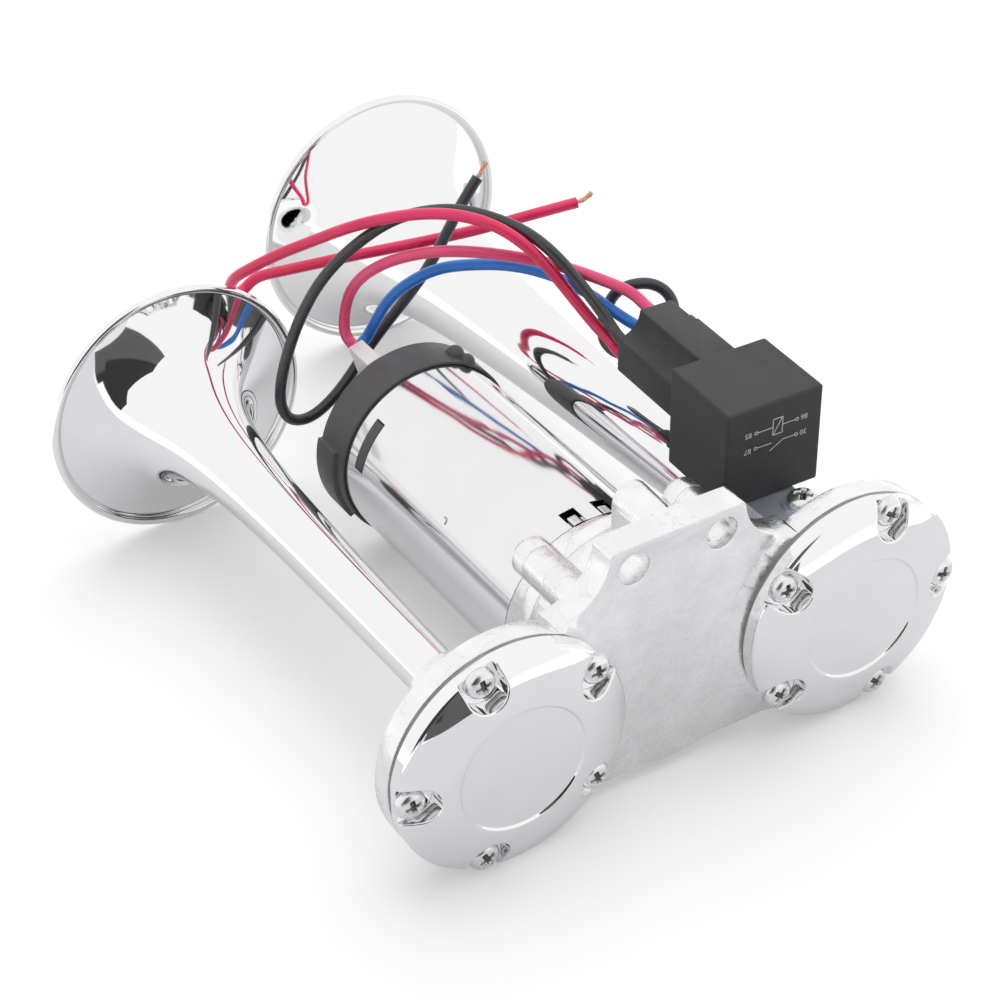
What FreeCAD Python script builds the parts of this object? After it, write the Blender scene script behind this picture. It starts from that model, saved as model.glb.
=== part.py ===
import FreeCAD, Part
import math
import os
from FreeCAD import Vector

# Twin-trumpet air horn with its compressor and relay, in millimetres.
# Trumpets blow along +Y, +Z is up, and the origin is midway between the two mounting holes,
# on the front face of the casting's centre plate.

# Mounting plate
HOLE_SPACING = 24.6
HOLE_R = 4.2
PLATE_T = 7.5
TAB_HALF_WIDTH = 18.8
TAB_TOP = 6.8
NECK_R = 14.7
PLATE_CORNER_R = 2.0
PLATE_DISC_R = 28.0
PLATE_DISC_Z = -33.7

# Sound chambers, one at each side
CHAMBER_X = 48.65
AXIS_Z = -34.5
FLANGE_R = 30.6
FLANGE_FRONT = -1.5
FLANGE_T = 5.6
HOLE_REACH = 12.0
COVE_R = FLANGE_R + 3.4
AIR_R = FLANGE_R - 8.1
AIR_DEPTH = 7.5
AIR_FLOOR_T = 2.5
CUP_R = AIR_R + 2.5
NOZZLE_R = 9.5
PORT_OVERRUN = 1.0
THROAT_R = 5.2
THROAT_DEPTH = 13.0
THROAT_BOSS_R = 10.0
THROAT_BOSS_FOOT_R = 14.0
THROAT_BOSS_END = 24.5

# Cap, diaphragm and gasket
GASKET_T = 0.8
DIAPHRAGM_T = 0.4
STACK_R = FLANGE_R - 0.4
CAP_WALL_T = 4.0
CAP_RIM_BEVEL = 1.0
CAP_DISC_R = FLANGE_R - 14.1
CAP_DISC_STEP = 0.5
CAP_DOME_RISE = 3.0
CAP_SHELL_T = 2.3
CAP_FLEX_ROOM = 1.5
POCKET_W = 11.0
POCKET_INNER_R = FLANGE_R - 11.6
POCKET_FLOOR_T = 2.3

# Cap screws
SCREWS_PER_CAP = 5
SCREW_PITCH_R = FLANGE_R - 3.4
SCREW_SHANK_R = 2.0
SCREW_HEAD_R = 3.6
SCREW_HEAD_T = 2.8
SCREW_LENGTH = 8.0
CROSS_W = 1.1
CROSS_SPAN = 4.4
CROSS_DEPTH = 1.4
LEFT_SCREW_TURN = 180.0
RIGHT_SCREW_TURN = 0.0

# Trumpets
NECK_END_R = 6.6
SHEET_T = 0.8
BEAD_R = 1.25
SHORT_MOUTH_Y = 163.3
SHORT_MOUTH_R = 36.7
SHORT_TAPER = 0.006
SHORT_FLARE = 11.7
LONG_MOUTH_Y = 220.6
LONG_MOUTH_R = 39.9
LONG_TAPER = 0.032
LONG_FLARE = 20.7
FLARE_POWER = 1.5
FLARE_START_Y = 30.0
FLARE_STEPS = 16

# Compressor
SHAFT_Z = -37.9
PUMP_X = 0.8
PUMP_Z = -35.3
PUMP_BODY_R = 27.0
PUMP_DRAFT = 1.0
PUMP_JOINT_Y = 26.1
PUMP_FRONT_WALL = 8.0
PUMP_SCREW_GRIP = 8.0
PUMP_SCREW_END_ROOM = 1.0
WEAR_T = 1.0
LINER_R = 20.0
LINER_BORE_R = LINER_R - 3.0
ROTOR_R = LINER_BORE_R - 3.3
ROTOR_END_GAP = 0.3
VANES = 4
VANE_T = 1.4
VANE_DEPTH = 7.0
PORT_R = 2.0
HOUSING_R = PUMP_BODY_R - PUMP_DRAFT
HOUSING_EAR_T = 4.4
SPIGOT_T = 3.5
SPIGOT_WALL = 2.5
BOSS_R = 5.2
UPPER_BOSS_X = 21.4
UPPER_BOSS_Z = -11.8
LOWER_BOSS_X = 21.0
LOWER_BOSS_Z = -54.5
INTAKE_R = 5.0
INTAKE_Z = 2.8
INTAKE_END = 20.0
INTAKE_BORE_R = 2.4
INTAKE_BORE_DEPTH = 7.0
INTAKE_DRAFT = 1.0

# Motor
CAN_R = 25.0
CAN_T = 1.2
SPIGOT_R = CAN_R - CAN_T - 0.2
CAN_START = 35.5
CAN_END = 121.3
NOTCH_DEPTH = 6.0
NOTCH_ANGLES = (77.0, 97.5)
NOTCH_WIDTH_ANGLE = 10.0
LOCK_WIDTH_ANGLE = 6.0
LOCK_LENGTH = 3.8
SLOT_START_Y = 104.8
SLOT_T = 3.7
SLOT_ANGLES = (132.0, 166.0)
BAND_R = CAN_R + 0.9
BAND_START = 112.8
BAND_END = 124.5
BAND_PAD_R = BAND_R + 1.3
BAND_PAD_SETBACK = 3.0
BAND_END_WALL = 2.0
BAND_PAD_ANGLES = (165.0, 215.0)
CLIP_ANGLE = 62.0
CLIP_R = 2.6
CLIP_SMALL_R = 2.2
SHAFT_R = 2.5
MAGNET_GAP = 0.15
MAGNET_T = 4.65
MAGNET_BORE_R = CAN_R - CAN_T - MAGNET_GAP - MAGNET_T
MAGNET_START = 48.0
MAGNET_END = 96.0
MAGNET_ANGLE = 130.0
CORE_R = MAGNET_BORE_R - 0.8
CORE_START = 51.0
CORE_END = 93.0
CORE_SLOTS = 10
CORE_SLOT_W = 4.0
WINDING_R = CORE_R - 1.8
WINDING_BASE_R = 9.0
WINDING_OVERHANG = 6.0
COMMUTATOR_R = 6.5
COMMUTATOR_START = 102.0
COMMUTATOR_END = 114.0
BRUSH_LENGTH = 8.0
BRUSH_W = 5.0
BRUSH_START = 104.0
BRUSH_T = 7.0
BRUSH_GAP = 0.3
GUIDE_WALL = 1.2
SPRING_T = 0.5
SPRING_W = 3.0
SPRING_FOOT = 3.0
BUSH_R = 5.0
HUB_R = BUSH_R + 2.5
HUB_LENGTH = 7.3

# Plug on the motor
PLUG_X = -8.3
PLUG_TOP_Z = -13.3
PLUG_ROLL = 15.0
PLUG_W = 4.4
PLUG_H = 9.0
PLUG_L = 10.0
PLUG_EDGE_R = 0.4
PLUG_WAYS = (2.2, 6.6)
TERMINAL_W = 2.8
TERMINAL_T = 0.8

# Relay, its tab and its socket
RELAY_X = 47.1
RELAY_FRONT = 26.1
RELAY_W = 28.0
RELAY_DEPTH = 25.0
RELAY_BOTTOM_Z = -19.5
RELAY_EDGE_R = 0.8
RELAY_YAW = -2.4
TAB_T = 1.2
TAB_NECK_W = 13.9
TAB_FRONT = 12.9
TAB_SCREW_X = 51.5
TAB_SCREW_Y = 18.8
TAB_EAR_X = 56.9
TAB_EAR_L = 11.2
TAB_EAR_SIDE_L = 7.5
TAB_EAR_CORNER = 2.0
TAB_EAR_REAR_CORNER = 1.5
TAB_EAR_ROOT = 1.0
TAB_FOLD_L = 11.0
TAB_FOLD_H = 3.0
TAB_UNDER = 14.0
WASHER_R = 5.0
WASHER_T = 0.8
RELAY_SCREW_R = 2.1
RELAY_SCREW_HEAD_R = 4.1
RELAY_SCREW_LENGTH = 7.5
RELAY_BOSS_R = 5.6
RELAY_BASE_T = 2.5
RELAY_RIM_W = 1.3
BLADE_W = 6.3
BLADE_T = 0.8
BLADE_LENGTH = 10.0
BLADE_INSET = 7.0
SOCKET_SPAN = 22.6
SOCKET_ARM_W = 9.7
SOCKET_L = 28.4
SOCKET_RISE = 1.5
RIDGE_T = 1.0
RIDGE_W = 2.5
RIDGE_SHARE = 0.62

# Wires: diameter, and each route as points chosen along the wire
WIRE_D = 3.1
STRAND_D = 1.8
BEND_SHARE = 0.45
PINK_ROUTE = (
    (-7.7, 134.5, -15.4), (-7.7, 137.4, -15.4), (-8.4, 139.9, -13.0), (-8.0, 140.5, -8.0),
    (-7.0, 139.0, -0.5), (-4.5, 135.0, 6.5), (1.0, 128.5, 12.5), (8.0, 120.0, 17.0),
    (15.0, 112.0, 19.0), (24.0, 104.5, 18.5), (33.5, 97.5, 16.0), (41.5, 91.5, 12.0), (48.0, 87.6, 7.6), (50.17, 83.6, 4.0), (50.0, 79.62, 4.0),
)
BLUE_ROUTE = (
    (-6.5, 134.5, -19.7), (-6.5, 137.2, -19.7), (-5.0, 139.6, -18.7), (-1.0, 140.8, -17.2),
    (1.0, 139.5, -12.0), (4.0, 137.5, -5.5), (8.0, 133.5, 0.5), (14.5, 129.0, 5.0),
    (21.0, 123.0, 7.0), (29.0, 115.5, 8.0), (37.0, 108.0, 6.0), (42.5, 99.5, 3.0), (45.0, 92.5, 0.5), (47.8, 88.0, -1.8), (48.17, 83.8, -1.5),
    (48.0, 79.7, -1.5),
)
LONG_BLACK_ROUTE = (
    (41.2, 79.98, -2.0), (41.36, 83.8, -2.0), (42.0, 87.5, -1.5), (41.0, 91.0, 2.0), (38.5, 96.5, 8.0),
    (34.0, 101.5, 16.0), (29.0, 107.0, 22.0), (23.0, 113.0, 25.5), (16.5, 120.0, 27.0), (9.5, 126.0, 26.0),
    (2.0, 132.0, 22.5), (-7.0, 137.0, 14.5), (-14.0, 141.0, 5.0), (-20.0, 143.0, -6.0), (-24.5, 144.0, -18.0),
    (-26.5, 144.5, -27.0), (-26.5, 144.5, -33.0), (-24.0, 144.5, -38.0), (-18.5, 144.5, -39.5),
    (-12.5, 144.5, -37.0), (-6.5, 144.5, -32.0), (-0.5, 144.5, -25.0), (6.0, 144.5, -18.5),
    (14.0, 144.5, -11.5), (20.5, 144.5, -5.0), (26.5, 144.5, 3.5), (31.5, 144.5, 11.5), (37.0, 144.5, 18.0),
)
LONG_RED_ROUTE = (
    (41.2, 79.98, -6.4), (41.37, 84.0, -6.4), (42.0, 88.0, -5.8), (40.0, 92.5, -2.5), (37.0, 99.0, 4.0),
    (33.0, 105.0, 11.5), (28.0, 110.0, 18.0), (22.5, 116.0, 22.0), (15.0, 123.5, 23.5), (7.0, 132.0, 21.5),
    (-2.5, 141.0, 17.5), (-12.5, 151.0, 10.5), (-18.0, 157.0, 6.0), (-23.5, 163.0, 0.5), (-26.1, 167.0, -3.2),
    (-26.6, 169.9, -6.9), (-25.9, 171.2, -10.1), (-23.9, 172.4, -12.2), (-20.9, 173.2, -12.1),
    (-18.6, 173.1, -10.2), (-16.1, 171.9, -8.6), (-10.5, 169.0, -7.5), (-4.5, 165.5, -6.0),
    (3.5, 160.0, -3.5), (15.0, 155.0, -2.0), (26.5, 151.0, -1.0), (38.5, 146.5, 0.5),
    (51.5, 141.0, 3.5), (63.5, 136.0, 6.0),
)
JUMPER_ROUTE = (
    (57.6, 79.3, -3.0), (57.8, 83.6, -3.0), (61.0, 86.5, -1.0), (60.5, 89.5, 2.5), (57.5, 92.5, 4.5),
    (53.5, 95.5, 4.0), (50.0, 98.0, 1.5), (48.0, 99.0, -3.0), (45.5, 97.5, -7.0), (44.5, 95.0, -10.5),
    (45.3, 90.5, -12.0), (47.8, 84.6, -10.6), (47.6, 79.72, -10.6),
)
BLACK_STRAND_ROUTE = ((37.0, 144.5, 18.0), (38.6, 144.5, 19.9), (39.6, 144.3, 22.4))
RED_STRAND_ROUTE = ((63.5, 136.0, 6.0), (65.8, 135.04, 6.48), (67.2, 134.4, 8.8))

# Clearances
FIT = 0.05
SLIP = 0.1

Y_AXIS = Vector(0, 1, 0)
X_AXIS = Vector(1, 0, 0)
Z_AXIS = Vector(0, 0, 1)
EPS = 0.5


# Small building blocks
def rod(x, z, radius, y0, y1):
    """Cylinder along Y."""
    return Part.makeCylinder(radius, y1 - y0, Vector(x, y0, z), Y_AXIS)


def ring(x, z, outer, inner, y0, y1):
    """Tube along Y."""
    return rod(x, z, outer, y0, y1).cut(rod(x, z, inner, y0 - EPS, y1 + EPS))


def cone(x, z, r0, r1, y0, y1):
    """Cone along Y, r0 at y0 and r1 at y1."""
    return Part.makeCone(r0, r1, y1 - y0, Vector(x, y0, z), Y_AXIS)


def block(x0, x1, y0, y1, z0, z1):
    """Box between two corners."""
    return Part.makeBox(x1 - x0, y1 - y0, z1 - z0, Vector(x0, y0, z0))


def polar(radius, degrees):
    """Offset in X and Z of a point at an angle about a Y axis."""
    angle = math.radians(degrees)
    return radius * math.cos(angle), radius * math.sin(angle)


def turned(shape, x, z, degrees):
    """Copy turned about the Y axis through x, z, from +X towards +Z."""
    copy = shape.copy()
    copy.rotate(Vector(x, 0, z), Y_AXIS, -degrees)
    return copy


def sector(x, z, outer, inner, start, end, y0, y1):
    """Part of a tube along Y, between two angles from +X towards +Z."""
    profile = Part.makePolygon([
        Vector(x + inner, y0, z),
        Vector(x + outer, y0, z),
        Vector(x + outer, y1, z),
        Vector(x + inner, y1, z),
        Vector(x + inner, y0, z),
    ])
    solid = Part.Face(profile).revolve(Vector(x, 0, z), Y_AXIS, -(end - start))
    return turned(solid, x, z, start)


def lathe(x, z, points):
    """Solid turned about the Y axis through x, z from (radius, y) corners."""
    corners = [Vector(x + r, y, z) for r, y in points]
    profile = Part.makePolygon(corners + corners[:1])
    return Part.Face(profile).revolve(Vector(x, 0, z), Y_AXIS, 360)


def joined(first, *others):
    """One clean solid from touching shapes."""
    return first.fuse(list(others)).removeSplitter()


# Chamber levels that several pieces share
GASKET_FRONT = FLANGE_FRONT - GASKET_T
CAP_REAR = GASKET_FRONT - DIAPHRAGM_T
CAP_EDGE = CAP_REAR - CAP_WALL_T
CAP_DISC_FACE = CAP_EDGE - CAP_DOME_RISE - CAP_DISC_STEP
POCKET_FLOOR = CAP_REAR - POCKET_FLOOR_T
CHAMBERS = {"left": -CHAMBER_X, "right": CHAMBER_X}
SCREW_TURN = {"left": LEFT_SCREW_TURN, "right": RIGHT_SCREW_TURN}
HOUSING_END = CAN_START
BOSS_PLACES = (
    (PUMP_X - UPPER_BOSS_X, UPPER_BOSS_Z),
    (PUMP_X + UPPER_BOSS_X, UPPER_BOSS_Z),
    (-LOWER_BOSS_X, LOWER_BOSS_Z),
    (LOWER_BOSS_X, LOWER_BOSS_Z),
)


def screw_places(side):
    """Centres in X and Z of one cap's screws."""
    places = []
    for index in range(SCREWS_PER_CAP):
        dx, dz = polar(SCREW_PITCH_R, SCREW_TURN[side] + index * 360.0 / SCREWS_PER_CAP)
        places.append((CHAMBERS[side] + dx, AXIS_Z + dz))
    return places


# Manifold casting
def plate_outline():
    """Front plate: a tab with hollow sides that run out into the chamber flanges."""
    neck_x = TAB_HALF_WIDTH + NECK_R
    neck_low = TAB_TOP - NECK_R
    foot_z = AXIS_Z - math.sqrt(FLANGE_R ** 2 - (CHAMBER_X - neck_x) ** 2)
    diagonal = NECK_R * math.sqrt(0.5)
    edges = [
        Part.LineSegment(Vector(-TAB_HALF_WIDTH, 0, TAB_TOP), Vector(TAB_HALF_WIDTH, 0, TAB_TOP)).toShape(),
        Part.Arc(Vector(TAB_HALF_WIDTH, 0, TAB_TOP), Vector(neck_x - diagonal, 0, TAB_TOP - diagonal),
                 Vector(neck_x, 0, neck_low)).toShape(),
        Part.LineSegment(Vector(neck_x, 0, neck_low), Vector(neck_x, 0, foot_z)).toShape(),
        Part.LineSegment(Vector(neck_x, 0, foot_z), Vector(-neck_x, 0, foot_z)).toShape(),
        Part.LineSegment(Vector(-neck_x, 0, foot_z), Vector(-neck_x, 0, neck_low)).toShape(),
        Part.Arc(Vector(-neck_x, 0, neck_low), Vector(diagonal - neck_x, 0, TAB_TOP - diagonal),
                 Vector(-TAB_HALF_WIDTH, 0, TAB_TOP)).toShape(),
    ]
    return Part.Face(Part.Wire(edges))


def centre_plate():
    """Plate with its rounded tab corners and the disc that closes it below."""
    plate = plate_outline().extrude(Vector(0, PLATE_T, 0))
    corners = [edge for edge in plate.Edges if is_tab_corner(edge)]
    plate = plate.makeFillet(PLATE_CORNER_R, corners)
    return plate.fuse(rod(0, PLATE_DISC_Z, PLATE_DISC_R, 0, PLATE_T))


def is_tab_corner(edge):
    """True for the two edges along Y at the tab's top corners."""
    if len(edge.Vertexes) != 2:
        return False
    first = edge.Vertexes[0].Point
    last = edge.Vertexes[1].Point
    at_top = abs(first.z - TAB_TOP) < 0.01 and abs(last.z - TAB_TOP) < 0.01
    return at_top and abs(first.y - last.y) > 1 and abs(first.x - last.x) < 0.01


def pump_body():
    """Body of the compressor, with the four screw bosses and the arched intake boss."""
    body = cone(PUMP_X, PUMP_Z, PUMP_BODY_R, PUMP_BODY_R - PUMP_DRAFT, 0, PUMP_JOINT_Y)
    parts = [rod(x, z, BOSS_R, EPS, PUMP_JOINT_Y) for x, z in BOSS_PLACES[:2]]
    parts += [rod(x, z, BOSS_R, 0, PUMP_JOINT_Y) for x, z in BOSS_PLACES[2:]]
    parts += [boss_web(x, z, PLATE_T - EPS, PUMP_JOINT_Y) for x, z in BOSS_PLACES]
    parts.append(cone(0, INTAKE_Z, INTAKE_R - INTAKE_DRAFT, INTAKE_R, EPS, INTAKE_END))
    parts.append(block(-INTAKE_R, INTAKE_R, PLATE_T - EPS, INTAKE_END, PUMP_Z, INTAKE_Z))
    return body.fuse(parts)


def boss_web(x, z, y0, y1):
    """Rib that joins a screw boss or ear to the round body beside it."""
    angle = math.degrees(math.atan2(z - PUMP_Z, x - PUMP_X))
    reach = math.hypot(x - PUMP_X, z - PUMP_Z)
    rib = block(PUMP_X + LINER_R, PUMP_X + reach, y0, y1, PUMP_Z - BOSS_R / 2, PUMP_Z + BOSS_R / 2)
    return turned(rib, PUMP_X, PUMP_Z, angle)


def chamber_body(x):
    """Flange, air cup and throat boss of one chamber, still solid."""
    flange_rear = FLANGE_FRONT + FLANGE_T
    cup_rear = FLANGE_FRONT + AIR_DEPTH + AIR_FLOOR_T
    foot_end = cup_rear + THROAT_BOSS_FOOT_R - THROAT_BOSS_R
    return rod(x, AXIS_Z, FLANGE_R, FLANGE_FRONT, flange_rear).fuse([
        rod(x, AXIS_Z, CUP_R, flange_rear - EPS, cup_rear),
        cone(x, AXIS_Z, THROAT_BOSS_FOOT_R, THROAT_BOSS_R, cup_rear - EPS, foot_end),
        rod(x, AXIS_Z, THROAT_BOSS_R, cup_rear - EPS, THROAT_BOSS_END),
    ])


def flange_cove(x):
    """Sloped shoulder from the plate's face up to a flange."""
    shoulder = cone(x, AXIS_Z, FLANGE_R, COVE_R, FLANGE_FRONT, 0)
    plate = plate_outline()
    plate.translate(Vector(0, FLANGE_FRONT, 0))
    return shoulder.common(plate.extrude(Vector(0, -FLANGE_FRONT, 0)))


def chamber_cuts(x):
    """Ring-shaped air space, throat and trumpet socket of one chamber."""
    socket_start = FLANGE_FRONT + THROAT_DEPTH
    air = ring(x, AXIS_Z, AIR_R, NOZZLE_R, FLANGE_FRONT - EPS, FLANGE_FRONT + AIR_DEPTH)
    throat = rod(x, AXIS_Z, THROAT_R, FLANGE_FRONT - 2, THROAT_BOSS_END + EPS)
    socket = rod(x, AXIS_Z, NECK_END_R + FIT, socket_start, THROAT_BOSS_END + EPS)
    return [air, throat, socket]


def screw_holes():
    """Threaded holes for the cap screws and the pump screws."""
    holes = []
    for side in CHAMBERS:
        for x, z in screw_places(side):
            end = POCKET_FLOOR + SCREW_LENGTH + SLIP
            holes.append(rod(x, z, SCREW_SHANK_R + FIT, FLANGE_FRONT - EPS, end))
    for x, z in BOSS_PLACES:
        start = PUMP_JOINT_Y - PUMP_SCREW_GRIP - PUMP_SCREW_END_ROOM
        holes.append(rod(x, z, SCREW_SHANK_R + FIT, start, PUMP_JOINT_Y + EPS))
    return holes


def air_passages():
    """Bores that lead air in from the intake boss, and out to both chambers."""
    cross_y = FLANGE_FRONT + AIR_DEPTH / 2 + PORT_R / 2
    cross_end = CHAMBER_X - AIR_R + PORT_OVERRUN
    cross = Part.makeCylinder(PORT_R, 2 * cross_end, Vector(-cross_end, cross_y, AXIS_Z), X_AXIS)
    outlet = rod(PUMP_X - LINER_BORE_R + PORT_R, PUMP_Z, PORT_R, cross_y, PUMP_FRONT_WALL + EPS)
    inlet = rod(0, INTAKE_Z, INTAKE_BORE_R, INTAKE_END - INTAKE_BORE_DEPTH, INTAKE_END + EPS)
    drop_start = PUMP_Z + LINER_BORE_R
    foot = Vector(0, INTAKE_END - 2 * INTAKE_BORE_R, drop_start)
    drop = Part.makeCylinder(INTAKE_BORE_R, INTAKE_Z - drop_start, foot, Z_AXIS)
    return [cross, outlet, inlet, drop]


def manifold_casting():
    nozzles = [rod(x, AXIS_Z, NOZZLE_R, GASKET_FRONT + SLIP, FLANGE_FRONT + 1) for x in CHAMBERS.values()]
    body = centre_plate().fuse([pump_body()] + [chamber_body(x) for x in CHAMBERS.values()])
    body = body.fuse([flange_cove(x) for x in CHAMBERS.values()] + nozzles + [relay_boss()])
    cuts = [rod(side * HOLE_SPACING / 2, 0, HOLE_R, -EPS, PLATE_T + HOLE_REACH) for side in (-1, 1)]
    for x in CHAMBERS.values():
        cuts += chamber_cuts(x)
    cuts += screw_holes() + air_passages() + [relay_screw_hole()]
    cuts.append(rod(PUMP_X, PUMP_Z, LINER_R + SLIP, PUMP_FRONT_WALL, PUMP_JOINT_Y + EPS))
    return body.cut(cuts).removeSplitter()


def relay_boss():
    """Upright boss on the right throat that the relay's tab is screwed to."""
    top = RELAY_BOTTOM_Z - TAB_T
    return Part.makeCylinder(RELAY_BOSS_R, top - AXIS_Z - THROAT_R - 2,
                             Vector(TAB_SCREW_X, TAB_SCREW_Y, AXIS_Z + THROAT_R + 2), Z_AXIS)


def relay_screw_hole():
    depth = RELAY_SCREW_LENGTH + SLIP
    return Part.makeCylinder(RELAY_SCREW_R + FIT, depth,
                             Vector(TAB_SCREW_X, TAB_SCREW_Y, RELAY_BOTTOM_Z + WASHER_T - depth), Z_AXIS)


# Caps, gaskets, diaphragms and their screws
def cap_dome(x):
    """Turned body of a cap: straight wall, bevel, shallow dome and raised centre disc."""
    dome_foot = FLANGE_R - CAP_RIM_BEVEL
    dome_top_y = CAP_EDGE - CAP_DOME_RISE
    bulge_r = (dome_foot + CAP_DISC_R) / 2
    bulge_y = CAP_EDGE - CAP_DOME_RISE * 0.68
    wall_end = CAP_EDGE + CAP_RIM_BEVEL / 2
    disc_edge = CAP_DISC_R - CAP_DISC_STEP / 2

    def at(radius, y):
        return Vector(x + radius, y, AXIS_Z)

    edges = [
        Part.LineSegment(at(0, CAP_REAR), at(FLANGE_R, CAP_REAR)).toShape(),
        Part.LineSegment(at(FLANGE_R, CAP_REAR), at(FLANGE_R, wall_end)).toShape(),
        Part.LineSegment(at(FLANGE_R, wall_end), at(dome_foot, CAP_EDGE)).toShape(),
        Part.Arc(at(dome_foot, CAP_EDGE), at(bulge_r, bulge_y), at(CAP_DISC_R, dome_top_y)).toShape(),
        Part.LineSegment(at(CAP_DISC_R, dome_top_y), at(disc_edge, CAP_DISC_FACE)).toShape(),
        Part.LineSegment(at(disc_edge, CAP_DISC_FACE), at(0, CAP_DISC_FACE)).toShape(),
        Part.LineSegment(at(0, CAP_DISC_FACE), at(0, CAP_REAR)).toShape(),
    ]
    return Part.Face(Part.Wire(edges)).revolve(Vector(x, 0, AXIS_Z), Y_AXIS, 360)


def cap_pocket(x, degrees):
    """U-shaped screw pocket, open at the rim, with a flat floor."""
    nose_r = POCKET_INNER_R + POCKET_W / 2
    top = CAP_DISC_FACE - 1
    nose = rod(x + nose_r, AXIS_Z, POCKET_W / 2, top, POCKET_FLOOR)
    half = POCKET_W / 2
    mouth = block(x + nose_r, x + FLANGE_R + EPS, top, POCKET_FLOOR, AXIS_Z - half, AXIS_Z + half)
    return turned(nose.fuse(mouth), x, AXIS_Z, degrees)


def cap(side):
    x = CHAMBERS[side]
    inner_r = POCKET_INNER_R - CAP_SHELL_T
    roof = CAP_DISC_FACE + CAP_SHELL_T
    step = CAP_REAR - CAP_FLEX_ROOM
    hollow = lathe(x, AXIS_Z, [
        (0, CAP_REAR + EPS), (AIR_R, CAP_REAR + EPS), (AIR_R, step),
        (inner_r, step), (inner_r - 1, roof), (0, roof),
    ])
    cuts = [hollow]
    for index in range(SCREWS_PER_CAP):
        cuts.append(cap_pocket(x, SCREW_TURN[side] + index * 360.0 / SCREWS_PER_CAP))
    cuts += [rod(px, pz, SCREW_SHANK_R + FIT, CAP_DISC_FACE, CAP_REAR + EPS) for px, pz in screw_places(side)]
    return cap_dome(x).cut(cuts).removeSplitter()


def flat_ring(side, inner, front, rear):
    """Gasket or diaphragm: a flat disc with the screw holes of one cap."""
    x = CHAMBERS[side]
    disc = rod(x, AXIS_Z, STACK_R, front, rear)
    holes = [rod(px, pz, SCREW_SHANK_R + SLIP, front - EPS, rear + EPS) for px, pz in screw_places(side)]
    if inner:
        holes.append(rod(x, AXIS_Z, inner, front - EPS, rear + EPS))
    return disc.cut(holes)


def pan_screw(x, z, seat, length, head_r, shank_r):
    """Pan-head cross-recess screw that points along +Y, its head's underside at the seat."""
    head = rod(x, z, head_r, seat - SCREW_HEAD_T, seat)
    top_edge = [edge for edge in head.Edges if is_circle_at(edge, seat - SCREW_HEAD_T)]
    head = head.makeFillet(SCREW_HEAD_T * 0.55, top_edge)
    top = seat - SCREW_HEAD_T
    half, wide = CROSS_SPAN / 2, CROSS_W / 2
    cross = block(x - half, x + half, top - EPS, top + CROSS_DEPTH, z - wide, z + wide)
    cross = cross.fuse(block(x - wide, x + wide, top - EPS, top + CROSS_DEPTH, z - half, z + half))
    return head.fuse(rod(x, z, shank_r, seat - EPS, seat + length)).cut(cross)


def is_circle_at(edge, y):
    """True for a full circle in the plane at y."""
    return len(edge.Vertexes) == 1 and abs(edge.Vertexes[0].Point.y - y) < 0.001


def cap_screws(side):
    return Part.makeCompound([
        pan_screw(x, z, POCKET_FLOOR, SCREW_LENGTH, SCREW_HEAD_R, SCREW_SHANK_R) for x, z in screw_places(side)
    ])


# Trumpets
def flare_radius(y, mouth_y, mouth_r, taper, flare):
    """Outer radius of a bell at y: a slow taper plus a term that grows fast towards the mouth."""
    base = NECK_END_R - 1 + taper * y
    mouth_base = NECK_END_R - 1 + taper * mouth_y
    return base + (mouth_r - mouth_base) * (flare / (flare + mouth_y - y)) ** FLARE_POWER


def flare_stations(mouth_y):
    """Stations along the bell, closer together near the mouth."""
    length = mouth_y - FLARE_START_Y
    return [mouth_y - length * (1 - step / FLARE_STEPS) ** 2.2 for step in range(FLARE_STEPS + 1)]


def trumpet(x, mouth_y, mouth_r, taper, flare):
    """Spun sheet-metal bell with a straight root and a rolled bead at the mouth."""
    lip_r = mouth_r - BEAD_R
    stations = flare_stations(mouth_y)
    outer = [(flare_radius(y, mouth_y, lip_r, taper, flare), y) for y in stations]
    inner = []
    for index, (radius, y) in enumerate(outer):
        before = outer[max(index - 1, 0)]
        after = outer[min(index + 1, len(outer) - 1)]
        slope = math.atan2(after[0] - before[0], after[1] - before[1])
        inner.append((radius - SHEET_T * math.cos(slope), y + SHEET_T * math.sin(slope)))
    root_y = FLANGE_FRONT + THROAT_DEPTH
    start_y = stations[0]
    root_top = Vector(x + NECK_END_R, start_y - 4, AXIS_Z)
    root_in = Vector(x + NECK_END_R - SHEET_T, start_y - 4, AXIS_Z)
    outer_points = [Vector(x + r, y, AXIS_Z) for r, y in outer]
    inner_points = [Vector(x + r, y, AXIS_Z) for r, y in inner]
    outer_curve = smooth_curve([root_top] + outer_points)
    inner_curve = smooth_curve([root_in] + inner_points)
    root_low = Vector(x + NECK_END_R, root_y, AXIS_Z)
    root_low_in = Vector(x + NECK_END_R - SHEET_T, root_y, AXIS_Z)
    edges = [
        Part.LineSegment(root_low, root_top).toShape(),
        outer_curve,
        Part.LineSegment(outer_points[-1], inner_points[-1]).toShape(),
        inner_curve,
        Part.LineSegment(root_in, root_low_in).toShape(),
        Part.LineSegment(root_low_in, root_low).toShape(),
    ]
    sheet = Part.Face(Part.Wire(Part.__sortEdges__(edges))).revolve(Vector(x, 0, AXIS_Z), Y_AXIS, 360)
    bead = Part.makeTorus(lip_r, BEAD_R, Vector(x, mouth_y - BEAD_R / 2, AXIS_Z), Y_AXIS)
    return sheet.fuse(bead)


def smooth_curve(points):
    """Smooth edge through points."""
    curve = Part.BSplineCurve()
    curve.interpolate(points)
    return curve.toShape()


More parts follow.
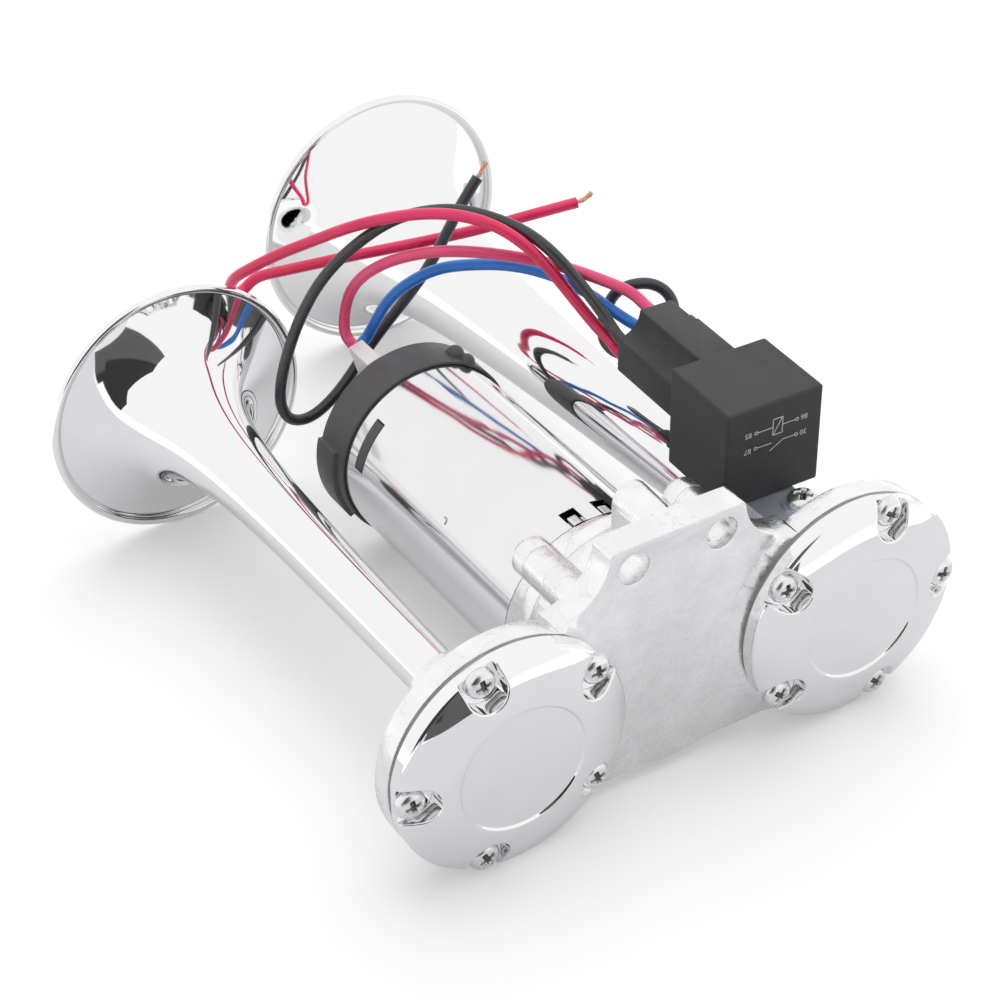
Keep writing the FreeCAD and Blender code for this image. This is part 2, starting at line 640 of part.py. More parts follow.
# Compressor
def pump_housing():
    """Rear cover of the compressor, which carries the motor: flange, ears, spigot and lock tabs."""
    ear_end = PUMP_JOINT_Y + HOUSING_EAR_T
    body = rod(PUMP_X, PUMP_Z, HOUSING_R, PUMP_JOINT_Y, ear_end)
    parts = [rod(x, z, BOSS_R, PUMP_JOINT_Y, ear_end) for x, z in BOSS_PLACES]
    parts += [boss_web(x, z, PUMP_JOINT_Y, ear_end) for x, z in BOSS_PLACES]
    parts.append(rod(0, SHAFT_Z, CAN_R, PUMP_JOINT_Y, HOUSING_END))
    parts.append(rod(0, SHAFT_Z, SPIGOT_R, HOUSING_END - EPS, HOUSING_END + SPIGOT_T))
    for turn in (0, 180):
        for centre in NOTCH_ANGLES:
            start = centre + turn - LOCK_WIDTH_ANGLE / 2
            parts.append(sector(0, SHAFT_Z, CAN_R - SLIP, SPIGOT_R - 1, start, start + LOCK_WIDTH_ANGLE,
                                HOUSING_END - EPS, HOUSING_END + LOCK_LENGTH))
    body = body.fuse(parts)
    cuts = [
        rod(0, SHAFT_Z, BUSH_R + FIT, PUMP_JOINT_Y - EPS, HOUSING_END - 1),
        rod(0, SHAFT_Z, SHAFT_R + 1, HOUSING_END - 2, HOUSING_END + SPIGOT_T + EPS),
        rod(0, SHAFT_Z, SPIGOT_R - SPIGOT_WALL, HOUSING_END, HOUSING_END + SPIGOT_T + EPS),
    ]
    cuts += [rod(x, z, SCREW_SHANK_R + FIT, PUMP_JOINT_Y - EPS, ear_end + EPS) for x, z in BOSS_PLACES]
    cuts += [rod(x, z, SCREW_HEAD_R + ROTOR_END_GAP, ear_end, HOUSING_END + EPS) for x, z in BOSS_PLACES[2:]]
    return body.cut(cuts).removeSplitter()


def pump_screws():
    """Four screws through the ears of the pump housing, heads towards the motor."""
    seat = PUMP_JOINT_Y + HOUSING_EAR_T
    screws = []
    for x, z in BOSS_PLACES:
        screw = pan_screw(x, z, 0, HOUSING_EAR_T + PUMP_SCREW_GRIP, SCREW_HEAD_R, SCREW_SHANK_R)
        screw.rotate(Vector(x, 0, z), Z_AXIS, 180)
        screw.translate(Vector(0, seat, 0))
        screws.append(screw)
    return Part.makeCompound(screws)


def pump_liner():
    """Hardened ring that the vanes run in, with a side port for the intake."""
    body = ring(PUMP_X, PUMP_Z, LINER_R, LINER_BORE_R, PUMP_FRONT_WALL + WEAR_T, PUMP_JOINT_Y)
    foot = Vector(0, INTAKE_END - 2 * INTAKE_BORE_R, PUMP_Z)
    port = Part.makeCylinder(INTAKE_BORE_R, 2 * LINER_R, foot, Z_AXIS)
    return body.cut(port)


def wear_plate():
    """Plate at the closed end of the liner, with the outlet port."""
    plate = rod(PUMP_X, PUMP_Z, LINER_R, PUMP_FRONT_WALL, PUMP_FRONT_WALL + WEAR_T)
    port_x = PUMP_X - LINER_BORE_R + PORT_R
    port = rod(port_x, PUMP_Z, PORT_R, PUMP_FRONT_WALL - EPS, PUMP_FRONT_WALL + WEAR_T + EPS)
    return plate.cut(port)


ROTOR_START = PUMP_FRONT_WALL + WEAR_T + ROTOR_END_GAP
ROTOR_END = PUMP_JOINT_Y - ROTOR_END_GAP


def pump_rotor():
    """Slotted rotor, set off centre in the liner."""
    body = ring(0, SHAFT_Z, ROTOR_R, SHAFT_R, ROTOR_START, ROTOR_END)
    slot = block(ROTOR_R - VANE_DEPTH - SLIP, ROTOR_R + 1, ROTOR_START - EPS, ROTOR_END + EPS,
                 SHAFT_Z - VANE_T / 2 - FIT, SHAFT_Z + VANE_T / 2 + FIT)
    return body.cut([turned(slot, 0, SHAFT_Z, index * 360.0 / VANES) for index in range(VANES)])


def pump_vane(index):
    """Sliding vane, at rest inside its slot."""
    vane = block(ROTOR_R - VANE_DEPTH, ROTOR_R, ROTOR_START, ROTOR_END,
                 SHAFT_Z - VANE_T / 2, SHAFT_Z + VANE_T / 2)
    return turned(vane, 0, SHAFT_Z, index * 360.0 / VANES)


# Motor
def motor_can():
    """Drawn steel tube with lock notches at the pump end and a slot near the far end."""
    tube = ring(0, SHAFT_Z, CAN_R, CAN_R - CAN_T, CAN_START, CAN_END)
    cuts = []
    for turn in (0, 180):
        for centre in NOTCH_ANGLES:
            start = centre + turn - NOTCH_WIDTH_ANGLE / 2
            cuts.append(sector(0, SHAFT_Z, CAN_R + 1, CAN_R - CAN_T - 1, start, start + NOTCH_WIDTH_ANGLE,
                               CAN_START - EPS, CAN_START + NOTCH_DEPTH))
    cuts.append(sector(0, SHAFT_Z, CAN_R + 1, CAN_R - CAN_T - 1, SLOT_ANGLES[0], SLOT_ANGLES[1],
                       SLOT_START_Y, SLOT_START_Y + SLOT_T))
    return tube.cut(cuts)


def motor_magnet(centre):
    """Arc magnet against the inside of the can."""
    start = centre - MAGNET_ANGLE / 2
    return sector(0, SHAFT_Z, CAN_R - CAN_T - MAGNET_GAP, MAGNET_BORE_R, start, start + MAGNET_ANGLE,
                  MAGNET_START, MAGNET_END)


def motor_shaft():
    return rod(0, SHAFT_Z, SHAFT_R, ROTOR_START, BAND_END - BAND_END_WALL - ROTOR_END_GAP)


def slot_bar(clearance, y0, y1):
    """Bar that fills one slot of the armature core, less a clearance."""
    half = CORE_SLOT_W / 2 - clearance
    return block(WINDING_BASE_R + clearance, WINDING_R, y0, y1, SHAFT_Z - half, SHAFT_Z + half)


def armature_core():
    """Laminated core with open slots."""
    body = ring(0, SHAFT_Z, CORE_R, SHAFT_R, CORE_START, CORE_END)
    slot = slot_bar(0, CORE_START - EPS, CORE_END + EPS)
    mouth = block(WINDING_R - EPS, CORE_R + 1, CORE_START - EPS, CORE_END + EPS,
                  SHAFT_Z - CORE_SLOT_W / 4, SHAFT_Z + CORE_SLOT_W / 4)
    cut = slot.fuse(mouth)
    return body.cut([turned(cut, 0, SHAFT_Z, index * 360.0 / CORE_SLOTS) for index in range(CORE_SLOTS)])


def armature_winding():
    """Copper coils: bars in the slots and a round head of wire at each end."""
    low = CORE_START - WINDING_OVERHANG
    high = CORE_END + WINDING_OVERHANG
    heads = [ring(0, SHAFT_Z, WINDING_R, SHAFT_R + 2, low, CORE_START - SLIP),
             ring(0, SHAFT_Z, WINDING_R, SHAFT_R + 2, CORE_END + SLIP, high)]
    bar = slot_bar(SLIP, CORE_START - 1, CORE_END + 1)
    bars = [turned(bar, 0, SHAFT_Z, index * 360.0 / CORE_SLOTS) for index in range(CORE_SLOTS)]
    return joined(heads[0], heads[1], *bars)


def commutator():
    return ring(0, SHAFT_Z, COMMUTATOR_R, SHAFT_R, COMMUTATOR_START, COMMUTATOR_END)


def brush(side):
    """Carbon brush at +X or -X of the commutator."""
    start = COMMUTATOR_R + BRUSH_GAP
    body = block(start, start + BRUSH_LENGTH, BRUSH_START, BRUSH_START + BRUSH_T,
                 SHAFT_Z - BRUSH_W / 2, SHAFT_Z + BRUSH_W / 2)
    return turned(body, 0, SHAFT_Z, 0 if side == "right" else 180)


def brush_spring(side):
    """Leaf spring that bears on the back of a brush, its foot on the end cap."""
    start = COMMUTATOR_R + BRUSH_GAP + BRUSH_LENGTH
    half = SPRING_W / 2
    leaf = block(start, start + SPRING_T, BRUSH_START, CAP_INNER, SHAFT_Z - half, SHAFT_Z + half)
    foot = block(start, start + SPRING_FOOT, CAP_INNER - SPRING_T, CAP_INNER, SHAFT_Z - half, SHAFT_Z + half)
    return turned(joined(leaf, foot), 0, SHAFT_Z, 0 if side == "right" else 180)


CAP_INNER = CAN_END + SLIP


def brush_guide():
    """U-shaped guide on the end cap for the brush at +X."""
    start = COMMUTATOR_R + GUIDE_WALL + BRUSH_GAP
    end = COMMUTATOR_R + BRUSH_LENGTH
    wall = GUIDE_WALL
    half = BRUSH_W / 2 + SLIP
    low, high = SHAFT_Z - half - wall, SHAFT_Z + half + wall
    guide = block(start, end, BRUSH_START - wall, CAP_INNER + EPS, low, high)
    channel = block(start - 1, end + 1, BRUSH_START - SLIP, BRUSH_START + BRUSH_T + SLIP,
                    SHAFT_Z - half, SHAFT_Z + half)
    return guide.cut(channel)


def motor_end_cap():
    """Black moulded cap: skirt over the can, inner ring, snap tab, brush guides and bush seat."""
    skirt = ring(0, SHAFT_Z, BAND_R, CAN_R + SLIP, BAND_START, BAND_END)
    disc = rod(0, SHAFT_Z, BAND_R - 0.4, CAP_INNER, BAND_END)
    spigot_r = CAN_R - CAN_T - SLIP
    spigot = ring(0, SHAFT_Z, spigot_r, spigot_r - BAND_END_WALL, SLOT_START_Y - SLOT_T, CAP_INNER + EPS)
    tab = sector(0, SHAFT_Z, CAN_R + 0.3, spigot_r - 1, SLOT_ANGLES[0] + 1, SLOT_ANGLES[1] - 1,
                 SLOT_START_Y + SLIP, SLOT_START_Y + SLOT_T - SLIP)
    hub = rod(0, SHAFT_Z, HUB_R, BAND_END - HUB_LENGTH, CAP_INNER + EPS)
    pad = sector(0, SHAFT_Z, BAND_PAD_R, BAND_R - EPS, BAND_PAD_ANGLES[0], BAND_PAD_ANGLES[1],
                 BAND_START + BAND_PAD_SETBACK, BAND_END)
    guides = [turned(brush_guide(), 0, SHAFT_Z, turn) for turn in (0, 180)]
    body = joined(skirt, disc, spigot, tab, hub, pad, band_clip(), *guides)
    cuts = [rod(0, SHAFT_Z, BUSH_R + FIT, BAND_END - HUB_LENGTH - EPS, BAND_END - BAND_END_WALL)]
    cuts += [terminal_blank(way, SLIP) for way in (0, 1)]
    return body.cut(cuts)


def band_clip():
    """Small rounded clip that stands on the band, clear of the can below."""
    dx, dz = polar(BAND_R + SLIP, CLIP_ANGLE)
    clip = Part.makeSphere(CLIP_R, Vector(dx, BAND_START + CLIP_R + 2, SHAFT_Z + dz))
    clip = clip.fuse(Part.makeSphere(CLIP_SMALL_R, Vector(dx + 1.8, BAND_START + 1.6, SHAFT_Z + dz - 1.2)))
    return clip.cut(rod(0, SHAFT_Z, CAN_R + SLIP, BAND_START - 2 * CLIP_R, BAND_END))


def front_bush():
    return ring(0, SHAFT_Z, BUSH_R, SHAFT_R + FIT, PUMP_JOINT_Y + SLIP, HOUSING_END - 1)


def rear_bush():
    return ring(0, SHAFT_Z, BUSH_R, SHAFT_R + FIT, BAND_END - HUB_LENGTH, BAND_END - BAND_END_WALL)


# Plug with its two terminal blades
def rolled(shape):
    """Copy rolled to follow the curve of the end cap, about the plug's top rear edge."""
    return turned(shape, PLUG_X, PLUG_TOP_Z, PLUG_ROLL)


def terminal_blank(way, clearance):
    """Flat blade that stands on the end cap, one above the other."""
    half = TERMINAL_W / 2 + clearance
    mid_z = PLUG_TOP_Z - PLUG_WAYS[way]
    start = BAND_END - BAND_END_WALL - clearance
    end = BAND_END + PLUG_L / 2 + clearance
    blade = block(PLUG_X - half, PLUG_X + half, start, end,
                  mid_z - TERMINAL_T / 2 - clearance, mid_z + TERMINAL_T / 2 + clearance)
    return rolled(blade)


def terminal_plug():
    """White two-way plug, its ways one above the other."""
    half = PLUG_W / 2
    body = block(PLUG_X - half, PLUG_X + half, BAND_END, BAND_END + PLUG_L, PLUG_TOP_Z - PLUG_H, PLUG_TOP_Z)
    edges = [edge for edge in body.Edges if edge.BoundBox.YLength > 1]
    return rolled(body.makeFillet(PLUG_EDGE_R, edges)).cut([terminal_blank(way, SLIP) for way in (0, 1)])


# Relay
def yawed(shape):
    """Copy turned about the tab's screw, as the relay sits."""
    copy = shape.copy()
    copy.rotate(Vector(TAB_SCREW_X, TAB_SCREW_Y, 0), Z_AXIS, RELAY_YAW)
    return copy


RELAY_REAR = RELAY_FRONT + RELAY_DEPTH
RELAY_MID_Z = RELAY_BOTTOM_Z + RELAY_W / 2
BASE_HALF = RELAY_W / 2 - RELAY_RIM_W


def relay_case():
    """Moulded case, a rounded cube with a recess for its base."""
    half = RELAY_W / 2
    top = RELAY_BOTTOM_Z + RELAY_W
    case = block(RELAY_X - half, RELAY_X + half, RELAY_FRONT, RELAY_REAR, RELAY_BOTTOM_Z, top)
    case = case.makeFillet(RELAY_EDGE_R, case.Edges)
    recess = block(RELAY_X - BASE_HALF - SLIP, RELAY_X + BASE_HALF + SLIP, RELAY_REAR - RELAY_BASE_T,
                   RELAY_REAR + EPS, RELAY_MID_Z - BASE_HALF - SLIP, RELAY_MID_Z + BASE_HALF + SLIP)
    return yawed(case.cut(recess))


def blade_blanks(clearance):
    """The relay's four blades: three upright and one across."""
    reach = RELAY_W / 2 - BLADE_INSET
    y0 = RELAY_REAR - RELAY_BASE_T - clearance
    y1 = RELAY_REAR + BLADE_LENGTH + clearance
    wide, thin = BLADE_W / 2 + clearance, BLADE_T / 2 + clearance
    mid_z = RELAY_MID_Z + SOCKET_RISE
    blades = []
    for dx, dz, upright in ((-reach, 0, True), (reach, 0, True), (0, reach, False), (0, -reach, False)):
        half_x, half_z = (thin, wide) if upright else (wide, thin)
        blades.append(block(RELAY_X + dx - half_x, RELAY_X + dx + half_x, y0, y1,
                            mid_z + dz - half_z, mid_z + dz + half_z))
    return blades


def relay_base():
    """Base plate of the relay, with a hole for each blade."""
    base = block(RELAY_X - BASE_HALF, RELAY_X + BASE_HALF, RELAY_REAR - RELAY_BASE_T, RELAY_REAR,
                 RELAY_MID_Z - BASE_HALF, RELAY_MID_Z + BASE_HALF)
    return yawed(base.cut(blade_blanks(FIT)))


def relay_blades():
    return yawed(Part.makeCompound(blade_blanks(0)))


def relay_tab():
    """Steel tab under the relay: neck, wider ear at the screw and a folded left edge."""
    left = RELAY_X - TAB_NECK_W / 2
    right = RELAY_X + TAB_NECK_W / 2
    low, high = RELAY_BOTTOM_Z - TAB_T, RELAY_BOTTOM_Z
    neck = block(left, right, TAB_FRONT, RELAY_FRONT + TAB_UNDER, low, high)
    root, rear = right - TAB_EAR_ROOT, TAB_FRONT + TAB_EAR_L
    ear_corners = [
        (root, TAB_FRONT), (TAB_EAR_X - TAB_EAR_CORNER, TAB_FRONT), (TAB_EAR_X, TAB_FRONT + TAB_EAR_CORNER),
        (TAB_EAR_X, TAB_FRONT + TAB_EAR_CORNER + TAB_EAR_SIDE_L), (TAB_EAR_X - TAB_EAR_REAR_CORNER, rear),
        (root, rear),
    ]
    points = [Vector(x, y, low) for x, y in ear_corners]
    ear = Part.Face(Part.makePolygon(points + points[:1])).extrude(Vector(0, 0, TAB_T))
    fold = block(left, left + TAB_T, TAB_FRONT, TAB_FRONT + TAB_FOLD_L, low - TAB_FOLD_H, high)
    start = Vector(TAB_SCREW_X, TAB_SCREW_Y, low - TAB_T / 2)
    hole = Part.makeCylinder(RELAY_SCREW_R + SLIP, 2 * TAB_T, start, Z_AXIS)
    return yawed(joined(neck, ear, fold).cut(hole))


def relay_washer():
    at = Vector(TAB_SCREW_X, TAB_SCREW_Y, RELAY_BOTTOM_Z)
    disc = Part.makeCylinder(WASHER_R, WASHER_T, at, Z_AXIS)
    return disc.cut(Part.makeCylinder(RELAY_SCREW_R + SLIP, 3 * WASHER_T, at - Z_AXIS * WASHER_T, Z_AXIS))


def relay_screw():
    """Pan-head screw that points down through washer and tab into the casting."""
    screw = pan_screw(TAB_SCREW_X, 0, 0, RELAY_SCREW_LENGTH, RELAY_SCREW_HEAD_R, RELAY_SCREW_R)
    screw.rotate(Vector(TAB_SCREW_X, 0, 0), X_AXIS, -90)
    screw.translate(Vector(0, TAB_SCREW_Y, RELAY_BOTTOM_Z + WASHER_T))
    return screw


def relay_socket():
    """Socket with a cross-shaped section and hollow corners, pushed onto the relay's blades."""
    half = SOCKET_SPAN / 2
    arm = SOCKET_ARM_W / 2
    mid_z = RELAY_MID_Z + SOCKET_RISE
    y0, y1 = RELAY_REAR, RELAY_REAR + SOCKET_L
    body = block(RELAY_X - half, RELAY_X + half, y0, y1, mid_z - half, mid_z + half)
    cuts = []
    for side_x in (-1, 1):
        for side_z in (-1, 1):
            cuts.append(rod(RELAY_X + side_x * half, mid_z + side_z * half, half - arm, y0 - EPS, y1 + EPS))
    body = body.cut(cuts + blade_blanks(SLIP))
    ridge = block(RELAY_X + arm - EPS, RELAY_X + arm + RIDGE_T, y0, y0 + SOCKET_L * RIDGE_SHARE,
                  mid_z + half - RIDGE_W, mid_z + half)
    return yawed(body.fuse(ridge).removeSplitter())


# Wires and their bare strands
WIRES = (
    ("pink_wire", WIRE_D, PINK_ROUTE),
    ("blue_wire", WIRE_D, BLUE_ROUTE),
    ("long_black_wire", WIRE_D, LONG_BLACK_ROUTE),
    ("long_red_wire", WIRE_D, LONG_RED_ROUTE),
    ("black_jumper_wire", WIRE_D, JUMPER_ROUTE),
    ("black_strand", STRAND_D, BLACK_STRAND_ROUTE),
    ("red_strand", STRAND_D, RED_STRAND_ROUTE),
)


def wire_bend(before, corner, after):
    """Arc that rounds a corner: its radius, start, middle and end."""
    arrive = corner - before
    leave = after - corner
    tangent = BEND_SHARE * min(arrive.Length, leave.Length)
    turn = arrive.getAngle(leave)
    radius = tangent / math.tan(turn / 2)
    start = corner - arrive * (tangent / arrive.Length)
    end = corner + leave * (tangent / leave.Length)
    inward = (start + end) * 0.5 - corner
    middle = corner + inward * ((radius / math.cos(turn / 2) - radius) / inward.Length)
    return radius, start, middle, end


def wire_path(points):
    """Straight runs joined by arcs that touch both runs, and the arcs' radii."""
    corners = [Vector(*point) for point in points]
    edges = []
    radii = []
    at = corners[0]
    for before, corner, after in zip(corners, corners[1:], corners[2:]):
        radius, start, middle, end = wire_bend(before, corner, after)
        edges.append(Part.LineSegment(at, start).toShape())
        edges.append(Part.Arc(start, middle, end).toShape())
        radii.append(radius)
        at = end
    edges.append(Part.LineSegment(at, corners[-1]).toShape())
    return Part.Wire(edges), radii


def wire(name, diameter, points):
    """Round wire swept along its path, with its length and bend radii printed."""
    path, radii = wire_path(points)
    start = Vector(*points[0])
    section = Part.Wire(Part.makeCircle(diameter / 2, start, Vector(*points[1]) - start))
    solid = path.makePipeShell([section], True, False)
    swept = math.pi * diameter ** 2 / 4 * path.Length
    print(name, "length", round(path.Length, 1), "volume share", round(solid.Volume / swept, 4))
    print("  bend radii", " ".join("%.1f" % radius for radius in radii))
    return solid


# Build and write every piece
def build():
    nodes = {
        "manifold_casting": manifold_casting(),
        "short_trumpet": trumpet(-CHAMBER_X, SHORT_MOUTH_Y, SHORT_MOUTH_R, SHORT_TAPER, SHORT_FLARE),
        "long_trumpet": trumpet(CHAMBER_X, LONG_MOUTH_Y, LONG_MOUTH_R, LONG_TAPER, LONG_FLARE),
        "pump_housing": pump_housing(),
        "pump_screws": pump_screws(),
        "pump_liner": pump_liner(),
        "pump_wear_plate": wear_plate(),
        "pump_rotor": pump_rotor(),
        "motor_can": motor_can(),
        "motor_magnet_left": motor_magnet(180),
        "motor_magnet_right": motor_magnet(0),
        "motor_shaft": motor_shaft(),
        "armature_core": armature_core(),
        "armature_winding": armature_winding(),
        "commutator": commutator(),
        "motor_end_cap": motor_end_cap(),
        "front_bush": front_bush(),
        "rear_bush": rear_bush(),
        "terminal_plug": terminal_plug(),
        "relay_case": relay_case(),
        "relay_base": relay_base(),
        "relay_blades": relay_blades(),
        "relay_tab": relay_tab(),
        "relay_washer": relay_washer(),
        "relay_screw": relay_screw(),
        "relay_socket": relay_socket(),
    }
    for side in CHAMBERS:
        nodes[side + "_cap"] = cap(side)
        nodes[side + "_cap_screws"] = cap_screws(side)
        nodes[side + "_gasket"] = flat_ring(side, AIR_R, GASKET_FRONT, FLANGE_FRONT)
        nodes[side + "_diaphragm"] = flat_ring(side, 0, CAP_REAR, GASKET_FRONT)
        nodes["brush_" + side] = brush(side)
        nodes["brush_spring_" + side] = brush_spring(side)
    for index in range(VANES):
        nodes["pump_vane_%d" % (index + 1)] = pump_vane(index)
    for way in (0, 1):
        nodes["motor_terminal_%d" % (way + 1)] = terminal_blank(way, 0)
    for name, diameter, points in WIRES:
        nodes[name] = wire(name, diameter, points)
    return nodes


os.makedirs("parts", exist_ok=True)
for name, shape in build().items():
    shape.exportStep("parts/" + name + ".step")
    print(name, "valid" if shape.isValid() else "NOT VALID", len(shape.Solids), round(shape.Volume, 1))
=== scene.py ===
# %% [markdown]
# # Twin-trumpet air horn
# A car horn that blows two chromed trumpets of different length from one cast manifold. A small electric
# compressor, a relay and a few loose wires complete it. Every solid comes from the imported CAD model, which
# stays where it is. This lesson gives each piece the shape details and the finish that the real one shows.

# %% Load the fixed frame
import math
import bpy
import bmesh
from mathutils import Matrix, Vector


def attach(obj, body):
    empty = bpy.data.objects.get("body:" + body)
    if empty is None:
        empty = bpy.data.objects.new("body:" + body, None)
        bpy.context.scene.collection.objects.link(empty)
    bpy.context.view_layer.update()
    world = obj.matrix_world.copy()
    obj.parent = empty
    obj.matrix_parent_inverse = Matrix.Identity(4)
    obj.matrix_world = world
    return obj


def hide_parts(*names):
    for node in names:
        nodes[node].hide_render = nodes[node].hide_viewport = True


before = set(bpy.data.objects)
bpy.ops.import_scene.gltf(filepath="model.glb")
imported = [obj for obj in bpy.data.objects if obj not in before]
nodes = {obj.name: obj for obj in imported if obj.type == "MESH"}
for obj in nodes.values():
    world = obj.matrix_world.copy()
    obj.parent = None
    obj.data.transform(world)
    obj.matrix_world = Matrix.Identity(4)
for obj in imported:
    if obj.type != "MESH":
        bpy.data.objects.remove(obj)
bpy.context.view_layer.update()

# %% Helper that makes an object and puts it in the scene
def linked(name, data):
    thing = bpy.data.objects.new(name, data)
    bpy.context.scene.collection.objects.link(thing)
    return thing


print("object helper ready")

# %% [markdown]
# The camera stands in front and above, and looks down across the caps to the far mouths. Its place, tilt and
# lens were worked out from the round flanges, the rims and the square relay in the photograph.

# %% Camera at the photograph's viewing angle
CAMERA_PLACE = (-0.27443, -0.36346, 0.34883)
CAMERA_TURN = math.radians(-31.96)
CAMERA_DOWN = math.radians(36.34)
CAMERA_ROLL = math.radians(-0.867)
LENS_MM = 90.79
SENSOR_MM = 36.0


def camera_axes(turn, down, roll):
    """Right, up and forward directions of a camera that looks down and is rolled a little."""
    flat_right = Vector((math.cos(turn), math.sin(turn), 0))
    forward = Vector((-math.sin(turn) * math.cos(down), math.cos(turn) * math.cos(down), -math.sin(down)))
    flat_up = flat_right.cross(forward)
    right = flat_right * math.cos(roll) + flat_up * math.sin(roll)
    up = flat_up * math.cos(roll) - flat_right * math.sin(roll)
    return right, up, forward


right, up, forward = camera_axes(CAMERA_TURN, CAMERA_DOWN, CAMERA_ROLL)
lens = bpy.data.cameras.new("camera")
lens.lens = LENS_MM
lens.sensor_width = SENSOR_MM
camera = linked("camera", lens)
camera.matrix_world = Matrix.Translation(CAMERA_PLACE) @ Matrix((right, up, -forward)).transposed().to_4x4()
bpy.context.scene.camera = camera
print("camera looks along", [round(value, 3) for value in forward])

# %% [markdown]
# A finish is a small tree of shader nodes. Helpers keep the trees short: they add a node, calculate, make
# noise in object space, so that a grain keeps its real size in metres, spread a value over numbers or tints,
# and turn heights into bumps.

# %% Helpers for the shader trees
MM = 0.001


def add(tree, kind, inputs=None, **settings):
    """One node, with its settings and with values or links on its inputs."""
    node = tree.nodes.new(kind)
    for key, value in settings.items():
        setattr(node, key, value)
    for key, value in (inputs or {}).items():
        if isinstance(value, bpy.types.NodeSocket):
            tree.links.new(value, node.inputs[key])
        else:
            node.inputs[key].default_value = value
    return node


def made(tree, kind, inputs=None, **settings):
    """First result of a new node."""
    return add(tree, kind, inputs, **settings).outputs[0]


def calc(tree, operation, *values):
    """Result of one math node."""
    return made(tree, "ShaderNodeMath", dict(enumerate(values)), operation=operation)


def new_finish(name, **values):
    """Material with one Principled shader whose constant values are set on its own sockets."""
    material = bpy.data.materials.new(name)
    material.use_nodes = True
    tree = material.node_tree
    shader = tree.nodes["Principled BSDF"]
    for key, value in values.items():
        shader.inputs[key.replace("_", " ")].default_value = value
    return material, tree, shader


def grain(tree, size_mm, detail=2.0, stretch=(1, 1, 1)):
    """Noise between 0 and 1 on Object coordinates, with grains of about this size."""
    place = add(tree, "ShaderNodeTexCoord").outputs["Object"]
    scaled = add(tree, "ShaderNodeMapping", {"Vector": place, "Scale": stretch})
    noise = add(tree, "ShaderNodeTexNoise",
                {"Vector": scaled.outputs["Vector"], "Scale": 1 / (size_mm * MM), "Detail": detail})
    return noise.outputs["Fac"]


def between(tree, value, low, high, start=0.3, end=0.7):
    """Value spread over a range."""
    return made(tree, "ShaderNodeMapRange", {"Value": value, "From Min": start, "From Max": end,
                                             "To Min": low, "To Max": high})


def tint(tree, value, dark, light, start=0.3, end=0.7):
    """Colour between two tints."""
    ramp = add(tree, "ShaderNodeValToRGB", {"Fac": value})
    for stop, place, colour in zip(ramp.color_ramp.elements, (start, end), (dark, light)):
        stop.position = place
        stop.color = (*colour, 1)
    return ramp.outputs["Color"]


def mixed(tree, share, first, second):
    """Blend of two colours."""
    return add(tree, "ShaderNodeMix", {"Factor": share, 6: first, 7: second}, data_type="RGBA").outputs[2]


def distance_from(tree, mark):
    """Distance between the shaded place and a mark, both in object space."""
    place = add(tree, "ShaderNodeTexCoord").outputs["Object"]
    return add(tree, "ShaderNodeVectorMath", {0: place, 1: mark}, operation="DISTANCE").outputs["Value"]


def bump(tree, height, depth_mm, below=None):
    """Normal with bumps of a real depth."""
    inputs = {"Height": height, "Distance": depth_mm * MM, "Strength": 1.0}
    if below is not None:
        inputs["Normal"] = below
    return made(tree, "ShaderNodeBump", inputs)


def dress(tree, shader, **results):
    """Link results to the shader's own sockets."""
    for key, result in results.items():
        tree.links.new(result, shader.inputs[key.replace("_", " ")])


print("shader helpers ready")

# %% [markdown]
# The manifold and the pump cover are die-cast and blasted, so the metal is bright but scatters light. A fine
# grain breaks the highlights, a slow wave and thin wrinkles show where the metal flowed, and the roughness
# drifts a little. The wrinkles lie where a noise crosses its middle value, and the flat front has none.

# %% Cast metal
WRINKLE_WIDTH = 0.012
WRINKLE_GREY = (0.60, 0.60, 0.61, 1)


def cast_metal():
    material, tree, shader = new_finish("cast_metal", Metallic=1.0)
    colour = tint(tree, grain(tree, 9, 3), (0.86, 0.86, 0.865), (0.95, 0.95, 0.955))
    away = calc(tree, "ABSOLUTE", calc(tree, "SUBTRACT", grain(tree, 9, 2), 0.5))
    facing = add(tree, "ShaderNodeTexCoord").outputs["Normal"]
    forwards = add(tree, "ShaderNodeSeparateXYZ", {0: facing}).outputs["Y"]
    unmachined = between(tree, forwards, 0.0, 0.30, -0.95, -0.6)
    lines = between(tree, away, 1.0, 0.0, 0.0, WRINKLE_WIDTH)
    wrinkles = calc(tree, "MULTIPLY", lines, unmachined)
    waves = bump(tree, grain(tree, 3, 4), 0.17)
    pits = bump(tree, grain(tree, 0.5, 3), 0.022, below=waves)
    dress(tree, shader, Base_Color=mixed(tree, wrinkles, colour, WRINKLE_GREY),
          Roughness=between(tree, grain(tree, 2.5, 3), 0.20, 0.34),
          Normal=bump(tree, wrinkles, -0.05, below=pits))
    return material


CAST = cast_metal()
print(CAST.name, len(CAST.node_tree.nodes), "nodes")

# %% [markdown]
# Chrome is nearly a mirror. What the eye reads as chrome is what it reflects, with a very slow waviness left
# by the polishing wheel and faint smudges in the gloss.

# %% Chrome and bright steel
PUNCH_MARK = (-21.46 * MM, 68.1 * MM, -25.08 * MM)
DENT_FLOOR, DENT_EDGE = 0.5 * MM, 1.1 * MM


